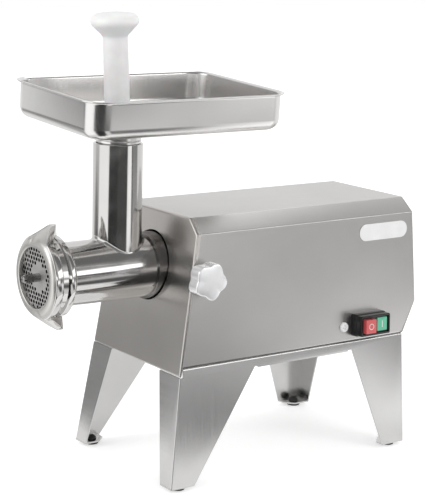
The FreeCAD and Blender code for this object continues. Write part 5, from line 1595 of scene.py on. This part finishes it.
@dataclass
class Studio:
    """Pale floor, soft light, reflected cards and the camera; a later card lies over an earlier one."""

    eye: Point = (1.55035, -1.09782, 0.64961)
    right: Point = (0.5759, 0.8171, 0.0258)
    up: Point = (-0.1794, 0.0955, 0.9791)
    back: Point = (0.7976, -0.5685, 0.2016)
    lens: float = 113.57
    middle: Point = (0.0, 0.0, 0.27)
    floor_half: float = 9000.0
    floor_roughness: float = 0.9
    floor_shades: tuple[Colour, Colour] = ((0.80, 0.80, 0.80), (0.82, 0.82, 0.82))
    lamp_distance: float = 2.2
    ambient: float = 0.76
    glow: Flat = (0.46, 0.56)
    glow_reach: Flat = (0.5, 3.0)
    dome_radius: float = 1.8
    dome_heights: range = range(-42, 89)
    dome_turns: range = range(-180, 180, 2)
    card_lift: float = 0.002
    ceiling: float = 0.35
    cards: tuple[Card, ...] = (
        Card(-200, 200, -60, -8, 0.85), Card(155, 200, -14, 40, 1.0), Card(-200, -120, -14, 62, 1.0),
        Card(155, 200, 40, 53, 0.6, 6), Card(155, 200, 53, 78, 1.5, 6), Card(-175, -125, 48, 78, 2.4, 6),
        Card(-122, -57, -45, 60, 0.95), Card(-57, -33, -5, 50, 0.8), Card(-64, -38, 6, 40, 0.35, 6),
        Card(-56, -36, -12, -5.4, 0.12, 2), Card(-68, -50.5, -13, -6.2, 0.25, 3), Card(-33, 18, -30, 50, 1.3),
        Card(18, 100, -13, 50, 0.25), Card(18, 100, 0.5, 8, 1.7, 2), Card(18, 100, -13, -1.5, 0.03, 2),
        Card(58, 99, -12, -3, 0.08, 5), Card(100, 117, -13, 45, 0.5), Card(100, 117, -10, -2, 1.4, 3),
        Card(117, 158, -13, 60, 0.85), Card(92, 122, -24, -12, 0.38, 6), Card(98, 121, -33, -16, 0.12, 6),
        Card(116, 134, -44, -27, 0.62, 5), Card(126, 152, -31, -12.5, 1.1), Card(113, 124, -15, -9, 0.7, 5),
        Card(130, 152, -44, -29, 1.15), Card(-62, -44, -36, -13, 0.3, 6), Card(134, 152, -31, -12.5, 1.4),
        Card(24, 68, -42, -12, 0.02), Card(120, 128, -9, 1, 0.08, 3), Card(127, 156, -8, 1, 0.32, 5),
        Card(112, 142, 4, 19, 2.2), Card(117, 155, 20, 60, 0.2), Card(112, 120, -8.5, -3, 1.5, 2))

    def level_at(self, azimuth: float, elevation: float) -> float:
        """Give the brightness of the cards in a direction.

        Args:
            azimuth: Direction in degrees, 0 in front and 90 on the right.
            elevation: Elevation in degrees.

        Returns:
            The brightness, 1 for white.
        """
        level = self.ceiling
        for card in self.cards:
            level += (card.level - level) * card.share(azimuth, elevation)
        return level

    def rays(self, tree: bpy.types.NodeTree) -> Socket:
        """Add up the camera, glossy and transmission rays.

        Args:
            tree: Node tree to add to.

        Returns:
            The socket that is 1 for any of them.
        """
        path = tree.nodes.new("ShaderNodeLightPath")
        total = path.outputs["Is Camera Ray"]
        for name in ("Is Glossy Ray", "Is Transmission Ray"):
            adder = tree.nodes.new("ShaderNodeMath")
            adder.operation = "MAXIMUM"
            tree.links.new(total, adder.inputs[0])
            tree.links.new(path.outputs[name], adder.inputs[1])
            total = adder.outputs[0]
        return total

    def world(self) -> None:
        """Light the scene softly from all round, with white seen behind the object."""
        world = bpy.data.worlds.new("white_studio")
        bpy.context.scene.world = world
        world.use_nodes = True
        tree = world.node_tree
        seen = set_inputs(tree.nodes["Background"], Color=WHITE)
        lit = set_inputs(tree.nodes.new("ShaderNodeBackground"), Color=WHITE, Strength=self.ambient)
        mix = tree.nodes.new("ShaderNodeMixShader")
        tree.links.new(self.rays(tree), mix.inputs["Fac"])
        tree.links.new(lit.outputs["Background"], mix.inputs[1])
        tree.links.new(seen.outputs["Background"], mix.inputs[2])
        tree.links.new(mix.outputs["Shader"], tree.nodes["World Output"].inputs["Surface"])

    def floor(self) -> None:
        """Lay a white floor that keeps the object's shadow."""
        bm = bmesh.new()
        bmesh.ops.create_grid(bm, x_segments=4, y_segments=4, size=self.floor_half)
        floor = finished(bm, "studio_floor", outward=False)
        shader = Shader("pale_floor")
        shader.set(Roughness=self.floor_roughness)
        shader.tint(shader.noise(6.0, 2.0), *self.floor_shades)
        join = shader.links.new
        away = shader.add("VectorMath")
        away.operation = "LENGTH"
        join(shader.place(), away.inputs[0])
        glow, total, mix = shader.add("Emission"), shader.add("AddShader"), shader.add("MixShader")
        join(shader.ramp(away.outputs["Value"], self.glow_reach, self.glow), glow.inputs["Strength"])
        join(shader.surface.outputs["BSDF"], total.inputs[0])
        join(glow.outputs["Emission"], total.inputs[1])
        join(self.rays(shader.material.node_tree), mix.inputs["Fac"])
        join(shader.surface.outputs["BSDF"], mix.inputs[1])
        join(total.outputs["Shader"], mix.inputs[2])
        join(mix.outputs["Shader"], shader.nodes["Material Output"].inputs["Surface"])
        floor.data.materials.append(shader.material)

    def surround(self) -> None:
        """Stand light and dark cards around the object, which only its glossy surfaces show."""
        bm = bmesh.new()
        layer = bm.verts.layers.float_color.new("level")
        heights, turns = self.dome_heights, self.dome_turns
        rows = skin(bm, [[self.toward(turn, height) for turn in turns] for height in heights])
        for row, height in zip(rows, heights):
            for vert, turn in zip(row, turns):
                level = self.level_at(turn, height)
                vert[layer] = (level, level, level, 1.0)
        bm.faces.new(rows[-1])
        dome = finished(bm, "studio_cards", outward=False)
        shader = Shader("card_light")
        source, glow = shader.add("Attribute"), shader.add("Emission")
        source.attribute_name = "level"
        shader.links.new(source.outputs["Color"], glow.inputs["Color"])
        shader.links.new(glow.outputs["Emission"], shader.nodes["Material Output"].inputs["Surface"])
        dome.data.materials.append(shader.material)
        dome.visible_camera = False
        dome.visible_diffuse = False
        dome.visible_shadow = False

    def toward(self, azimuth: float, elevation: float) -> Vector:
        """Give the point of the cards in a direction, none below the floor.

        Args:
            azimuth: Direction in degrees, 0 in front and 90 on the right.
            elevation: Elevation in degrees.

        Returns:
            The point, in millimetres.
        """
        reach = self.dome_radius
        if elevation < 0:
            reach = min(reach, (self.middle[2] - self.card_lift) / math.sin(math.radians(-elevation)))
        return (Vector(self.middle) + direction(azimuth, elevation) * reach) / MM

    def lamp(self, name: str, azimuth: float, elevation: float, size: float, power: float) -> None:
        """Hang a soft square lamp that looks at the object.

        Args:
            name: Name of the lamp.
            azimuth: Direction in degrees, 0 in front and 90 on the right.
            elevation: Elevation in degrees.
            size: Side of the lamp in metres.
            power: Power in watts.
        """
        light = bpy.data.lights.new(name, "AREA")
        light.energy = power
        light.size = size
        way = direction(azimuth, elevation)
        lamp = in_scene(name, light)
        lamp.location = Vector(self.middle) + way * self.lamp_distance
        lamp.rotation_euler = way.to_track_quat("Z", "Y").to_euler()

    def camera(self) -> None:
        """Set the camera at the photograph's angle."""
        data = bpy.data.cameras.new("camera")
        data.lens = self.lens
        camera = in_scene("camera", data)
        turn = Matrix((self.right, self.up, self.back)).transposed().to_4x4()
        camera.matrix_world = Matrix.Translation(self.eye) @ turn
        bpy.context.scene.camera = camera

    def build(self) -> None:
        """Set up the studio."""
        bpy.context.scene.view_settings.view_transform = "Standard"
        self.world()
        self.floor()
        self.surround()
        self.lamp("left_softbox", azimuth=-10.0, elevation=24.0, size=0.9, power=12.0)
        self.lamp("right_softbox", azimuth=118.0, elevation=22.0, size=0.8, power=9.0)
        self.camera()


def main() -> None:
    """Build the studio and every piece."""
    logging.basicConfig(level=logging.INFO, format="%(message)s")
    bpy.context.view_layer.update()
    Studio().build()
    scatter = Scatter("set_out_copies")
    housing = Housing()
    housing.build(scatter)
    Stand().build()
    Switch().build(housing)
    Clamp().build()
    GrinderHead().build(scatter)
    Tray().build()
    Plunger().build()
    Drive().build()
    bpy.context.view_layer.update()


if __name__ == "__main__":
    main()
